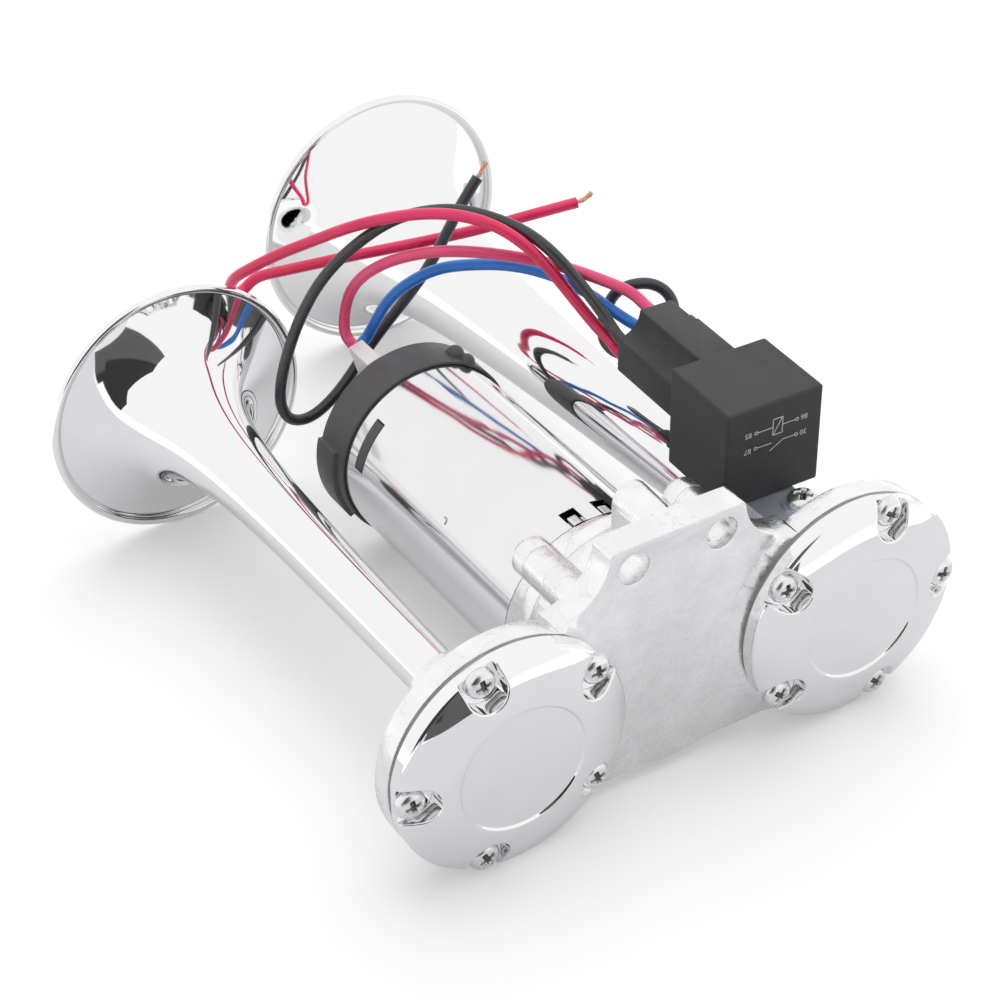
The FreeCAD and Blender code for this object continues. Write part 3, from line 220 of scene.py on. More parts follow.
def chrome(name, colour, gloss, mark=None):
    """Polished metal. A mark is the middle of a small dent that a centre punch left."""
    material, tree, shader = new_finish(name, Metallic=1.0)
    smudge = grain(tree, 14, 4)
    darker = [0.97 * value for value in colour]
    normal = bump(tree, grain(tree, 16, 1), 0.10)
    if mark:
        reach = distance_from(tree, mark)
        normal = bump(tree, between(tree, reach, 0.0, 1.0, DENT_FLOOR, DENT_EDGE), 0.4, below=normal)
    dress(tree, shader, Base_Color=tint(tree, smudge, darker, colour),
          Roughness=between(tree, smudge, gloss, gloss + 0.035), Normal=normal)
    return material


CHROME = chrome("chrome", (0.92, 0.92, 0.925), 0.02)
CAN_STEEL = chrome("can_plating", (0.86, 0.86, 0.87), 0.085, PUNCH_MARK)
print(CHROME.name, CAN_STEEL.name)

# %% [markdown]
# Zinc-plated steel has a cool tint and cloudy patches where the bath left it duller. The same tree with other
# numbers serves the screws, spring steel, bronze, copper and the dark magnets.

# %% Plated and bare metals
# Painted shade in a screw's cross recess: the colour there is this share of the dark tint.
RECESS_SHADE = 0.16


def plain_metal(name, dark, light, gloss, cloud_mm, grain_mm, depth_mm, metallic=1.0):
    """Plated or bare metal. Where a piece's own attribute "recess" is 1, the colour turns dark as painted
    shade.
    """
    material, tree, shader = new_finish(name, Metallic=metallic)
    clouds = grain(tree, cloud_mm, 4)
    recess = add(tree, "ShaderNodeAttribute", attribute_name="recess").outputs["Fac"]
    # The cross recess gets painted shade, where the deep sink would lie in shadow.
    painted_shade = (*[RECESS_SHADE * value for value in dark], 1)
    dress(tree, shader, Base_Color=mixed(tree, recess, tint(tree, clouds, dark, light), painted_shade),
          Roughness=between(tree, clouds, gloss + 0.12, gloss),
          Normal=bump(tree, grain(tree, grain_mm, 3), depth_mm))
    return material


ZINC = plain_metal("zinc_plate", (0.54, 0.59, 0.65), (0.74, 0.79, 0.85), 0.30, 3.0, 0.3, 0.02, 0.75)
SCREW_STEEL = plain_metal("screw_steel", (0.78, 0.78, 0.79), (0.92, 0.92, 0.93), 0.20, 1.5, 0.25, 0.008)
SPRING = plain_metal("spring_steel", (0.42, 0.43, 0.45), (0.60, 0.61, 0.63), 0.2, 6.0, 0.4, 0.006)
BRONZE = plain_metal("sintered_bronze", (0.46, 0.31, 0.15), (0.66, 0.47, 0.25), 0.34, 1.2, 0.15, 0.02)
COPPER = plain_metal("bare_copper", (0.80, 0.42, 0.25), (0.96, 0.66, 0.48), 0.26, 0.8, 0.2, 0.02, 0.8)
MAGNET = plain_metal("ferrite", (0.09, 0.09, 0.10), (0.16, 0.16, 0.17), 0.5, 2.0, 0.3, 0.03)
print("six metals")

# %% [markdown]
# The relay, its socket and the motor's end cap are black moulded plastic. A spark-eroded mould leaves a matt,
# very fine grain. The sheen comes up towards the edges of view by itself, so the colour stays nearly black.

# %% Black and white plastics, rubber and carbon
def moulded(name, dark, light, rough, grain_mm, depth_mm, **values):
    material, tree, shader = new_finish(name, **values)
    patches = grain(tree, 6, 2)
    dress(tree, shader, Base_Color=tint(tree, patches, dark, light),
          Roughness=between(tree, patches, rough - 0.04, rough + 0.05),
          Normal=bump(tree, grain(tree, grain_mm, 3), depth_mm))
    return material


RELAY_BLACK = moulded("relay_black", (0.060, 0.060, 0.061), (0.072, 0.072, 0.073), 0.50, 0.22, 0.018,
                      Specular_IOR_Level=0.18)
SOCKET_BLACK = moulded("socket_black", (0.045, 0.045, 0.046), (0.058, 0.058, 0.059), 0.42, 0.3, 0.012,
                       Specular_IOR_Level=0.25)
BAND_BLACK = moulded("band_black", (0.075, 0.075, 0.076), (0.092, 0.092, 0.093), 0.40, 0.25, 0.015)
NYLON = moulded("natural_nylon", (0.86, 0.86, 0.85), (0.93, 0.93, 0.92), 0.34, 0.4, 0.01,
                Subsurface_Weight=0.25, Subsurface_Scale=0.002)
RUBBER = moulded("gasket_rubber", (0.24, 0.24, 0.24), (0.34, 0.34, 0.34), 0.62, 0.3, 0.03)
CARBON = moulded("brush_carbon", (0.030, 0.030, 0.031), (0.055, 0.055, 0.056), 0.55, 0.2, 0.02)
print("six moulded finishes")

# %% [markdown]
# The wires have thin, glossy sleeves. Each colour drifts slightly along the wire, and the gloss drifts too,
# so the highlight wavers as it does on real drawn insulation.

# %% Wire sleeves
def sleeve(name, dark, light):
    material, tree, shader = new_finish(name, Specular_IOR_Level=0.5, Coat_Weight=0.35, Coat_Roughness=0.16)
    dress(tree, shader, Base_Color=tint(tree, grain(tree, 14, 1), dark, light),
          Roughness=between(tree, grain(tree, 8, 1), 0.26, 0.36))
    return material


PINK_SLEEVE = sleeve("pink_sleeve", (0.80, 0.050, 0.165), (0.92, 0.085, 0.230))
BLUE_SLEEVE = sleeve("blue_sleeve", (0.008, 0.180, 0.660), (0.016, 0.225, 0.780))
RED_SLEEVE = sleeve("red_sleeve", (0.76, 0.010, 0.085), (0.90, 0.024, 0.140))
BLACK_SLEEVE = sleeve("black_sleeve", (0.032, 0.034, 0.037), (0.046, 0.048, 0.052))
print("four sleeves")

# %% [markdown]
# Every CAD node gets the finish of its own material. The outer pieces that are rebuilt further on hide their
# CAD node, and the inner ones, which show only when the horn is taken apart, keep it.

# %% Give each CAD node its finish
NODE_FINISH = {
    CAST: ("manifold_casting", "pump_housing"),
    CHROME: ("short_trumpet", "long_trumpet", "left_cap", "right_cap"),
    CAN_STEEL: ("motor_can",),
    ZINC: ("relay_tab", "relay_washer", "relay_screw", "pump_wear_plate", "pump_liner", "pump_rotor"),
    SCREW_STEEL: ("left_cap_screws", "right_cap_screws", "pump_screws", "motor_shaft"),
    SPRING: ("left_diaphragm", "right_diaphragm", "brush_spring_left", "brush_spring_right", "armature_core"),
    BRONZE: ("front_bush", "rear_bush", "motor_terminal_1", "motor_terminal_2", "relay_blades"),
    COPPER: ("armature_winding", "commutator", "black_strand", "red_strand"),
    MAGNET: ("motor_magnet_left", "motor_magnet_right"),
    RELAY_BLACK: ("relay_case", "relay_base"),
    SOCKET_BLACK: ("relay_socket",),
    BAND_BLACK: ("motor_end_cap",),
    NYLON: ("terminal_plug",),
    RUBBER: ("left_gasket", "right_gasket"),
    CARBON: ("pump_vane_1", "pump_vane_2", "pump_vane_3", "pump_vane_4", "brush_left", "brush_right"),
    PINK_SLEEVE: ("pink_wire",),
    BLUE_SLEEVE: ("blue_wire",),
    RED_SLEEVE: ("long_red_wire",),
    BLACK_SLEEVE: ("long_black_wire", "black_jumper_wire"),
}
finished = set()
for material, names in NODE_FINISH.items():
    for name in names:
        for slot in nodes[name].material_slots:
            slot.material = material
        finished.add(name)
print("without a finish:", sorted(set(nodes) - finished))

# %% [markdown]
# The bells are spun from sheet. Their radius follows one rule: a slow taper from the neck, plus a term that
# grows faster and faster towards the mouth. Geometry Nodes can hold that rule with named sizes, and the two
# trumpets then differ only in numbers. A grid's rows run up the outside of the sheet and down the inside.

# %% Helpers for the geometry trees
SAME_PLACE = 1e-6


def new_geometry_tree(name, sizes):
    """Geometry tree with named inputs. Returns it with its inputs and its output node."""
    tree = bpy.data.node_groups.new(name, "GeometryNodeTree")
    tree.interface.new_socket("Geometry", in_out="INPUT", socket_type="NodeSocketGeometry")
    for label, kind, value in sizes:
        socket = tree.interface.new_socket(label, in_out="INPUT", socket_type=kind)
        if value is not None:
            socket.default_value = value
    tree.interface.new_socket("Geometry", in_out="OUTPUT", socket_type="NodeSocketGeometry")
    return tree, add(tree, "NodeGroupInput").outputs, add(tree, "NodeGroupOutput")


def place_at(tree, x=0.0, y=0.0, z=0.0):
    """Place made of three numbers."""
    return made(tree, "ShaderNodeCombineXYZ", {"X": x, "Y": y, "Z": z})


def unit_grid(tree, rows, columns):
    """Flat grid, and where each corner lies in it, from -0.5 to 0.5 along rows and along columns."""
    grid = made(tree, "GeometryNodeMeshGrid", {"Size X": 1.0, "Size Y": 1.0, "Vertices X": rows,
                                               "Vertices Y": columns})
    place = add(tree, "ShaderNodeSeparateXYZ", {0: made(tree, "GeometryNodeInputPosition")})
    return grid, place.outputs["X"], place.outputs["Y"]


def eased(tree, value, start, end):
    """0 before the start, 1 past the end and a smooth rise between them."""
    return made(tree, "ShaderNodeMapRange", {"Value": value, "From Min": start, "From Max": end,
                                             "To Min": 0.0, "To Max": 1.0}, interpolation_type="SMOOTHSTEP")


def weighed(tree, share, first, second):
    """Number between two numbers."""
    return made(tree, "ShaderNodeMix", {0: share, 2: first, 3: second}, data_type="FLOAT")


def moved(tree, geometry, places):
    """Geometry with its corners at these places."""
    return made(tree, "GeometryNodeSetPosition", {"Geometry": geometry, "Position": places})


def circle(tree, sides, radius):
    """Round line in the XY plane."""
    return made(tree, "GeometryNodeCurvePrimitiveCircle", {"Resolution": sides, "Radius": radius})


def tube(tree, line, section, caps=False):
    """Mesh swept along a line."""
    return made(tree, "GeometryNodeCurveToMesh", {"Curve": line, "Profile Curve": section, "Fill Caps": caps})


def along_y(tree, geometry, place):
    """Geometry turned from the Z axis to the Y axis and set at a place."""
    return made(tree, "GeometryNodeTransform", {"Geometry": geometry, "Translation": place,
                                                "Rotation": (math.pi / 2, 0, 0)})


def joined(tree, *parts):
    """The parts' meshes as one, with doubled corners merged."""
    both = add(tree, "GeometryNodeJoinGeometry")
    for part in parts:
        tree.links.new(part, both.inputs[0])
    return made(tree, "GeometryNodeMergeByDistance", {"Geometry": both.outputs[0], "Distance": SAME_PLACE})


def end_tree(tree, given, result, geometry):
    """Smooth shading, realized instances and the material, as every tree of a piece ends."""
    smooth = made(tree, "GeometryNodeSetShadeSmooth", {"Geometry": geometry})
    real = made(tree, "GeometryNodeRealizeInstances", {"Geometry": smooth})
    dressed = made(tree, "GeometryNodeSetMaterial", {"Geometry": real, "Material": given["Finish"]})
    tree.links.new(dressed, result.inputs["Geometry"])


def grown(name, tree, values, base_mesh=None):
    """Plain mesh object made by a geometry tree with these input values."""
    holder = linked(name + "_source", base_mesh or bpy.data.meshes.new(name + "_base"))
    modifier = holder.modifiers.new("tree", "NODES")
    modifier.node_group = tree
    for item in tree.interface.items_tree:
        if item.item_type == "SOCKET" and item.in_out == "INPUT" and item.name in values:
            modifier[item.identifier] = values[item.name]
    bpy.context.view_layer.update()
    ready = holder.evaluated_get(bpy.context.evaluated_depsgraph_get())
    mesh = bpy.data.meshes.new_from_object(ready)
    bpy.data.objects.remove(holder)
    mesh.name = name
    return linked(name, mesh)


def closed_outwards(mesh):
    """Merge doubles and turn every face outwards. Returns the number of open edges."""
    work = bmesh.new()
    work.from_mesh(mesh)
    bmesh.ops.remove_doubles(work, verts=work.verts, dist=SAME_PLACE)
    bmesh.ops.recalc_face_normals(work, faces=work.faces)
    open_edges = sum(1 for edge in work.edges if not edge.is_manifold)
    work.to_mesh(mesh)
    work.free()
    return open_edges


print("geometry helpers ready")

# %% Tree for the bell's radius at a height
FLOAT = "NodeSocketFloat"
BELL_SIZES = (
    ("Mouth Y", FLOAT, 0.2), ("Lip Radius", FLOAT, 0.03), ("Foot Radius", FLOAT, 0.0056),
    ("Neck Radius", FLOAT, 0.0066), ("Neck End Y", FLOAT, 0.026), ("Taper", FLOAT, 0.01),
    ("Flare", FLOAT, 0.01), ("Power", FLOAT, 1.5),
)
NECK_BLEND = 4 * MM


def bell_radius_tree():
    tree = bpy.data.node_groups.new("bell_radius", "GeometryNodeTree")
    tree.interface.new_socket("Y", in_out="INPUT", socket_type=FLOAT)
    for label, kind, _ in BELL_SIZES:
        tree.interface.new_socket(label, in_out="INPUT", socket_type=kind)
    tree.interface.new_socket("Radius", in_out="OUTPUT", socket_type=FLOAT)
    given, result = add(tree, "NodeGroupInput").outputs, add(tree, "NodeGroupOutput")
    y, mouth, flare = (given[label] for label in ("Y", "Mouth Y", "Flare"))
    foot, taper = given["Foot Radius"], given["Taper"]
    cone = calc(tree, "MULTIPLY_ADD", taper, y, foot)
    cone_at_mouth = calc(tree, "MULTIPLY_ADD", taper, mouth, foot)
    left = calc(tree, "ADD", flare, calc(tree, "SUBTRACT", mouth, y))
    growth = calc(tree, "POWER", calc(tree, "DIVIDE", flare, left), given["Power"])
    rise = calc(tree, "SUBTRACT", given["Lip Radius"], cone_at_mouth)
    bell = calc(tree, "MULTIPLY_ADD", rise, growth, cone)
    neck_end = given["Neck End Y"]
    blend = eased(tree, y, neck_end, calc(tree, "ADD", neck_end, NECK_BLEND))
    tree.links.new(weighed(tree, blend, given["Neck Radius"], bell), result.inputs["Radius"])
    return tree


BELL_RADIUS = bell_radius_tree()
print(BELL_RADIUS.name, len(BELL_RADIUS.nodes), "nodes")

# %% Tree for a whole trumpet
ROWS = 72
SECTORS = 144
BEAD_SIDES = 20
SLOPE_STEP = 0.2 * MM


def bell_radius(tree, given, y):
    """The rule above, asked at one height."""
    rule = add(tree, "GeometryNodeGroup", node_tree=BELL_RADIUS)
    tree.links.new(y, rule.inputs["Y"])
    for label, _, _ in BELL_SIZES:
        tree.links.new(given[label], rule.inputs[label])
    return rule.outputs["Radius"]


def sheet_rows(tree, given, across, around):
    """Each corner's height along the bell, 1 on the inner side of the sheet, and angle round the bell."""
    row = calc(tree, "ROUND", calc(tree, "MULTIPLY_ADD", across, 2 * ROWS, ROWS))
    last = calc(tree, "COMPARE", row, 2 * ROWS, 0.5)
    row = calc(tree, "MULTIPLY", row, calc(tree, "SUBTRACT", 1, last))
    inner = calc(tree, "GREATER_THAN", row, ROWS - 0.5)
    along = weighed(tree, inner, row, calc(tree, "SUBTRACT", 2 * ROWS - 1, row))
    share = calc(tree, "DIVIDE", along, ROWS - 1)
    slowed = calc(tree, "SUBTRACT", 1, calc(tree, "POWER", calc(tree, "SUBTRACT", 1, share), 2.0))
    span = calc(tree, "SUBTRACT", given["Mouth Y"], given["Root Y"])
    angle = calc(tree, "MULTIPLY_ADD", around, 2 * math.pi, math.pi)
    return calc(tree, "MULTIPLY_ADD", span, slowed, given["Root Y"]), inner, angle


def trumpet_tree():
    sizes = BELL_SIZES + (
        ("Centre X", FLOAT, 0.0), ("Centre Z", FLOAT, 0.0), ("Root Y", FLOAT, 0.01),
        ("Sheet", FLOAT, 0.0008), ("Bead Radius", FLOAT, 0.00125), ("Finish", "NodeSocketMaterial", None))
    tree, given, result = new_geometry_tree("spun_trumpet", sizes)
    grid, across, around = unit_grid(tree, 2 * ROWS + 1, SECTORS + 1)
    y, inner, angle = sheet_rows(tree, given, across, around)
    radius = bell_radius(tree, given, y)
    beyond = bell_radius(tree, given, calc(tree, "SUBTRACT", y, SLOPE_STEP))
    slope = calc(tree, "ARCTANGENT", calc(tree, "DIVIDE", calc(tree, "SUBTRACT", radius, beyond), SLOPE_STEP))
    depth = calc(tree, "MULTIPLY", given["Sheet"], inner)
    reach = calc(tree, "SUBTRACT", radius, calc(tree, "MULTIPLY", depth, calc(tree, "COSINE", slope)))
    height = calc(tree, "MULTIPLY_ADD", depth, calc(tree, "SINE", slope), y)
    x = calc(tree, "MULTIPLY_ADD", reach, calc(tree, "COSINE", angle), given["Centre X"])
    z = calc(tree, "MULTIPLY_ADD", reach, calc(tree, "SINE", angle), given["Centre Z"])
    sheet = moved(tree, grid, place_at(tree, x, height, z))
    lip = circle(tree, SECTORS, given["Lip Radius"])
    bead = tube(tree, lip, circle(tree, BEAD_SIDES, given["Bead Radius"]))
    bead_y = calc(tree, "MULTIPLY_ADD", given["Bead Radius"], -0.5, given["Mouth Y"])
    rolled = along_y(tree, bead, place_at(tree, given["Centre X"], bead_y, given["Centre Z"]))
    end_tree(tree, given, result, joined(tree, rolled, sheet))
    return tree


TRUMPET = trumpet_tree()
print(TRUMPET.name, len(TRUMPET.nodes), "nodes")

# %% Grow both trumpets
CHAMBER_X, AXIS_Z = 48.65, -34.5
TRUMPETS = {
    "short_trumpet": {"Centre X": -CHAMBER_X * MM, "Mouth Y": 163.3 * MM, "Lip Radius": 35.45 * MM,
                      "Taper": 0.006, "Flare": 11.7 * MM},
    "long_trumpet": {"Centre X": CHAMBER_X * MM, "Mouth Y": 220.6 * MM, "Lip Radius": 38.65 * MM,
                     "Taper": 0.032, "Flare": 20.7 * MM},
}
SHARED = {"Centre Z": AXIS_Z * MM, "Root Y": 11.5 * MM, "Sheet": 0.8 * MM, "Bead Radius": 1.25 * MM,
          "Foot Radius": 5.6 * MM, "Neck Radius": 6.6 * MM, "Neck End Y": 26 * MM, "Power": 1.5,
          "Finish": CHROME}
for name, sizes in TRUMPETS.items():
    values = dict(sizes, **SHARED)
    bell = grown(name + "_bell", TRUMPET, values)
    open_edges = closed_outwards(bell.data)
    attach(bell, "frame")
    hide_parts(name)
    print(bell.name, len(bell.data.polygons), "faces,", open_edges, "open edges")

# %% [markdown]
# A cap is a shallow dome with a sunk disc and five U-shaped pockets that run out through its rim. Mirror
# chrome shows every facet, so the cap is drawn as smooth rows: across one fifth of the dome they run from a
# pocket's lip to the borders of that fifth, and each corner's normal comes from the shape's own formula.

# %% Height of the cap's front over the radius (mm)
RIM_R, DOME_R, DISC_R = 30.6, 29.6, 16.2
DISC_Y, REAR_Y, POCKET_Y = -9.72, -2.7, -5.0
ARC_R, ARC_Y, ARC_RADIUS = 16.629, 15.538, 25.745
RIM_ROUND, RIM_DROP = 0.6, 0.40
DISC_STEP = 0.8


def dome_height(radius):
    """Y of the cap's front at this radius."""
    arc = ARC_Y - math.sqrt(ARC_RADIUS ** 2 - (min(radius, DOME_R) - ARC_R) ** 2)
    if radius > DOME_R:
        over = min(radius - DOME_R, RIM_R - DOME_R - 1e-4) / (RIM_R - DOME_R)
        arc += RIM_DROP * over + RIM_ROUND * (1 - math.sqrt(1 - over ** 2))
    share = min(max((radius - DISC_R) / DISC_STEP, 0), 1)
    return DISC_Y + (arc - DISC_Y) * share * share * (3 - 2 * share)


def dome_normal(x, z):
    """Outward normal of the front at a place measured from the cap's axis."""
    radius = max(math.hypot(x, z), 1e-6)
    slope = (dome_height(radius + 0.01) - dome_height(radius - 0.01)) / 0.02
    return Vector((x / radius * slope, -1, z / radius * slope)).normalized()


print("rim", round(dome_height(RIM_R), 2), "foot", round(dome_height(DOME_R), 2), "disc", dome_height(0))

# %% Rows of one fifth of a cap
NOSE_R, POCKET_HALF, LIP = 25.95, 4.85, 0.45
STRAIGHT = (30.6, 30.5, 30.3, 30.0, 29.75, 29.6, 29.4, 28.7, 27.9, 27.2, 26.5)
SIDE_END_R, INNER_R = 25.35, 17.4
CORNER = math.radians(46.3)
FIFTH = math.radians(36)
CORNER_STEPS, NOSE_STEPS = 6, 6
ROW_CROWDING = 1.3


def u_path(half, first_r):
    """Points along a U-shaped line, from its open end on the right round the nose to the left."""
    side = [(half, math.sqrt(radius ** 2 - half ** 2)) for radius in STRAIGHT]
    side[0] = (half, math.sqrt(first_r ** 2 - half ** 2))
    angles = [-CORNER * step / CORNER_STEPS for step in range(CORNER_STEPS + 1)]
    bow = math.pi - 2 * CORNER
    angles += [-CORNER - bow * step / (2 * NOSE_STEPS) for step in range(1, NOSE_STEPS + 1)]
    nose = [(half * math.cos(angle), NOSE_R + half * math.sin(angle)) for angle in angles]
    right_half = side + nose
    return right_half + [(-x, z) for x, z in reversed(right_half[:-1])]


def border_path():
    """Border of one fifth of the dome, with a point for each point of the U."""
    steps = CORNER_STEPS + 1
    radial = list(STRAIGHT)
    radial += [SIDE_END_R - (SIDE_END_R - INNER_R) * step / steps for step in range(1, steps + 1)]
    right_half = [(radius, FIFTH) for radius in radial]
    right_half += [(INNER_R, FIFTH * (1 - step / NOSE_STEPS)) for step in range(1, NOSE_STEPS + 1)]
    return right_half + [(radius, -angle) for radius, angle in reversed(right_half[:-1])]


def front_rows(count=14):
    """Rows from the pocket's lip to the border, as (x, z) places."""
    lip = [(math.hypot(x, z), math.atan2(x, z)) for x, z in u_path(POCKET_HALF + LIP, RIM_R)]
    border = border_path()
    rows = []
    for step in range(count + 1):
        share = (step / count) ** ROW_CROWDING
        row = [(r0 + (r1 - r0) * share, a0 + (a1 - a0) * share) for (r0, a0), (r1, a1) in zip(lip, border)]
        rows.append([(radius * math.sin(angle), radius * math.cos(angle)) for radius, angle in row])
    return rows


print(len(u_path(POCKET_HALF, RIM_R)), len(border_path()), "points along the two lines")

# %% Pocket lip, wall and floor
WALL_DRAFT, FLOOR_ROUND = 0.12, 0.35
LIP_STEPS, FLOOR_STEPS = 5, 4


def pocket_rows():
    """Rows from the lip down to the floor: half width, kind and turn from level."""
    rows = []
    for step in range(1, LIP_STEPS + 1):
        turn = math.pi / 2 * step / LIP_STEPS
        rows.append((POCKET_HALF + LIP * (1 - math.sin(turn)), "lip", turn))
    for step in range(FLOOR_STEPS + 1):
        turn = math.pi / 2 * (1 - step / FLOOR_STEPS)
        inset = WALL_DRAFT + FLOOR_ROUND * (1 - math.sin(turn))
        rows.append((POCKET_HALF - inset, "floor", turn))
    return rows


def pocket_point(x, z, inward, kind, turn):
    """Height and normal of a point on the pocket's side. Turn is 0 where the side is level."""
    normal = Vector((inward[0] * math.sin(turn), -math.cos(turn), inward[1] * math.sin(turn)))
    if kind == "lip":
        edge_x, edge_z = x - inward[0] * LIP * math.sin(turn), z - inward[1] * LIP * math.sin(turn)
        normal += dome_normal(x, z) * math.cos(turn) - Vector((0, -1, 0)) * math.cos(turn)
        return dome_height(math.hypot(edge_x, edge_z)) + LIP * (1 - math.cos(turn)), normal.normalized()
    return POCKET_Y - FLOOR_ROUND * (1 - math.cos(turn)), normal.normalized()


def inward_at(x, z):
    """Level direction from the U's line into the pocket."""
    if z >= NOSE_R:
        return (-1 if x > 0 else 1, 0)
    reach = math.hypot(x, z - NOSE_R)
    return (-x / reach, -(z - NOSE_R) / reach)


print(len(pocket_rows()), "rows in a pocket")

# %% Helpers that build a cap
DISC_RINGS = (0, 8, 15.8, DISC_R, 16.3, 16.42, 16.54, 16.66, 16.78, 16.9, 17.05, INNER_R)


class Sheet:
    """Corners, faces and corner normals of a growing mesh."""

    def __init__(self):
        self.places, self.normals, self.index = [], [], {}
        self.faces, self.face_normals = [], []

    def corner(self, place, normal):
        key = tuple(round(value, 4) for value in place)
        if key not in self.index:
            self.index[key] = len(self.places)
            self.places.append(place)
            self.normals.append(normal)
        return self.index[key]

    def face(self, corners, normals=None):
        """Add a face, wound so that it looks along its corners' normals. A doubled corner counts once."""
        normals = normals or [self.normals[corner] for corner in corners]
        kept = [place for place, corner in enumerate(corners) if corner != corners[place - 1]]
        if len(kept) < 3:
            return
        corners, normals = [corners[place] for place in kept], [normals[place] for place in kept]
        spots = [Vector(self.places[corner]) for corner in corners]
        area = sum(((a - spots[0]).cross(b - spots[0]) for a, b in zip(spots[1:], spots[2:])), Vector())
        if area.dot(sum(normals, Vector())) < 0:
            corners, normals = corners[::-1], normals[::-1]
        self.faces.append(corners)
        self.face_normals.append(normals)

    def strip(self, first, second):
        for a, b, c, d in zip(first, first[1:], second[1:], second):
            self.face([a, b, c, d])


def turned(x, z, angle):
    """Place turned from the fifth that points along +Z to its own fifth."""
    return x * math.cos(angle) + z * math.sin(angle), z * math.cos(angle) - x * math.sin(angle)


def fifth(sheet, angle):
    """One fifth of the front with its pocket. Returns the corners along the rim."""
    def put(x, z, height, normal):
        px, pz = turned(x, z, angle)
        nx, nz = turned(normal[0], normal[2], angle)
        return sheet.corner((px, height, pz), Vector((nx, normal[1], nz)))

    rows = []
    for row in reversed(front_rows()):
        rows.append([put(x, z, dome_height(math.hypot(x, z)), dome_normal(x, z)) for x, z in row])
    for half, kind, turn in pocket_rows():
        line = []
        for x, z in u_path(half, RIM_R):
            inward = inward_at(x, z)
            height, normal = pocket_point(x, z, inward, kind, turn)
            line.append(put(x, z, height, normal))
        rows.append(line)
    for first, second in zip(rows, rows[1:]):
        sheet.strip(first, second)
    sheet.face(rows[-1])
    return [row[0] for row in rows] + [row[-1] for row in reversed(rows)]


def disc_rings(steps=60):
    """Sunk disc and its soft step, in rings of (x, z) places from the centre out."""
    turns = [FIFTH + 2 * math.pi * step / steps for step in range(steps + 1)]
    return [[(radius * math.sin(turn), radius * math.cos(turn)) for turn in turns] for radius in DISC_RINGS]


def level_outwards(x, z):
    """Level direction from the cap's axis to a place."""
    return Vector((x, 0, z)).normalized()


def cap_side(sheet, edge):
    """Side under one fifth's rim, down to the rear. Returns its lower corners."""
    places = [sheet.places[corner] for corner in edge]
    low = [sheet.corner((x, REAR_Y, z), level_outwards(x, z)) for x, _, z in places]
    for corners in zip(edge, edge[1:], low[1:], low):
        around = [sheet.places[corner] for corner in corners]
        sheet.face(list(corners), [level_outwards(x, z) for x, _, z in around])
    return low


def cap_object(name, centre_x, first_degrees):
    sheet = Sheet()
    start = math.radians(90 - first_degrees)
    rim = [fifth(sheet, math.radians(90 - first_degrees - 72 * step)) for step in range(5)]
    rings = []
    for ring in disc_rings():
        spots = [(turned(x, z, start), dome_height(math.hypot(x, z))) for x, z in ring]
        rings.append([sheet.corner((x, height, z), dome_normal(x, z)) for (x, z), height in spots])
    for first, second in zip(rings, rings[1:]):
        sheet.strip(first, second)
    rear_loop = []
    for edge in rim:
        rear_loop += cap_side(sheet, edge)[:-1]
    sheet.face(rear_loop, [Vector((0, 1, 0))] * len(rear_loop))
    places = [((x + centre_x) * MM, y * MM, (z + AXIS_Z) * MM) for x, y, z in sheet.places]
    mesh = bpy.data.meshes.new(name + "_dome")
    mesh.from_pydata(places, [], sheet.faces)
    mesh.shade_smooth()
    mesh.normals_split_custom_set([normal for normals in sheet.face_normals for normal in normals])
    mesh.materials.append(CHROME)
    piece = linked(name + "_dome", mesh)
    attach(piece, "frame")
    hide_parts(name)
    print(piece.name, len(mesh.polygons), "faces")


print(len(disc_rings()), "rings in the disc")

# %% Build the two caps
cap_object("left_cap", -CHAMBER_X, 180)
cap_object("right_cap", CHAMBER_X, 0)

# %% [markdown]
# All screws are pan heads with a cross recess, in three sizes. One tree bends a grid into the head by two
# rules, a rounded profile over the radius and a cross-shaped sink, and adds the shank. A second tree puts a
# copy on each seat point and turns each by its own amount, from a fixed seed, as no two screws stop at the
# same angle.

# %% Tree for one pan-head screw, its head towards -Y
RINGS, AROUND = 30, 72
ARM_FLOOR = 0.70
CROWN_OUT, CROWN_UP = 3.2, 2.4
BOWL = 0.35


def arm_mask(tree, along, across, half_length, half_width):
    """1 inside one arm of the cross, with sloping sides."""
    sides = []
    for value, half in ((along, half_length), (across, half_width)):
        floor_edge = calc(tree, "MULTIPLY", half, ARM_FLOOR)
        sides.append(eased(tree, calc(tree, "ABSOLUTE", value), half, floor_edge))
    return calc(tree, "MULTIPLY", *sides)


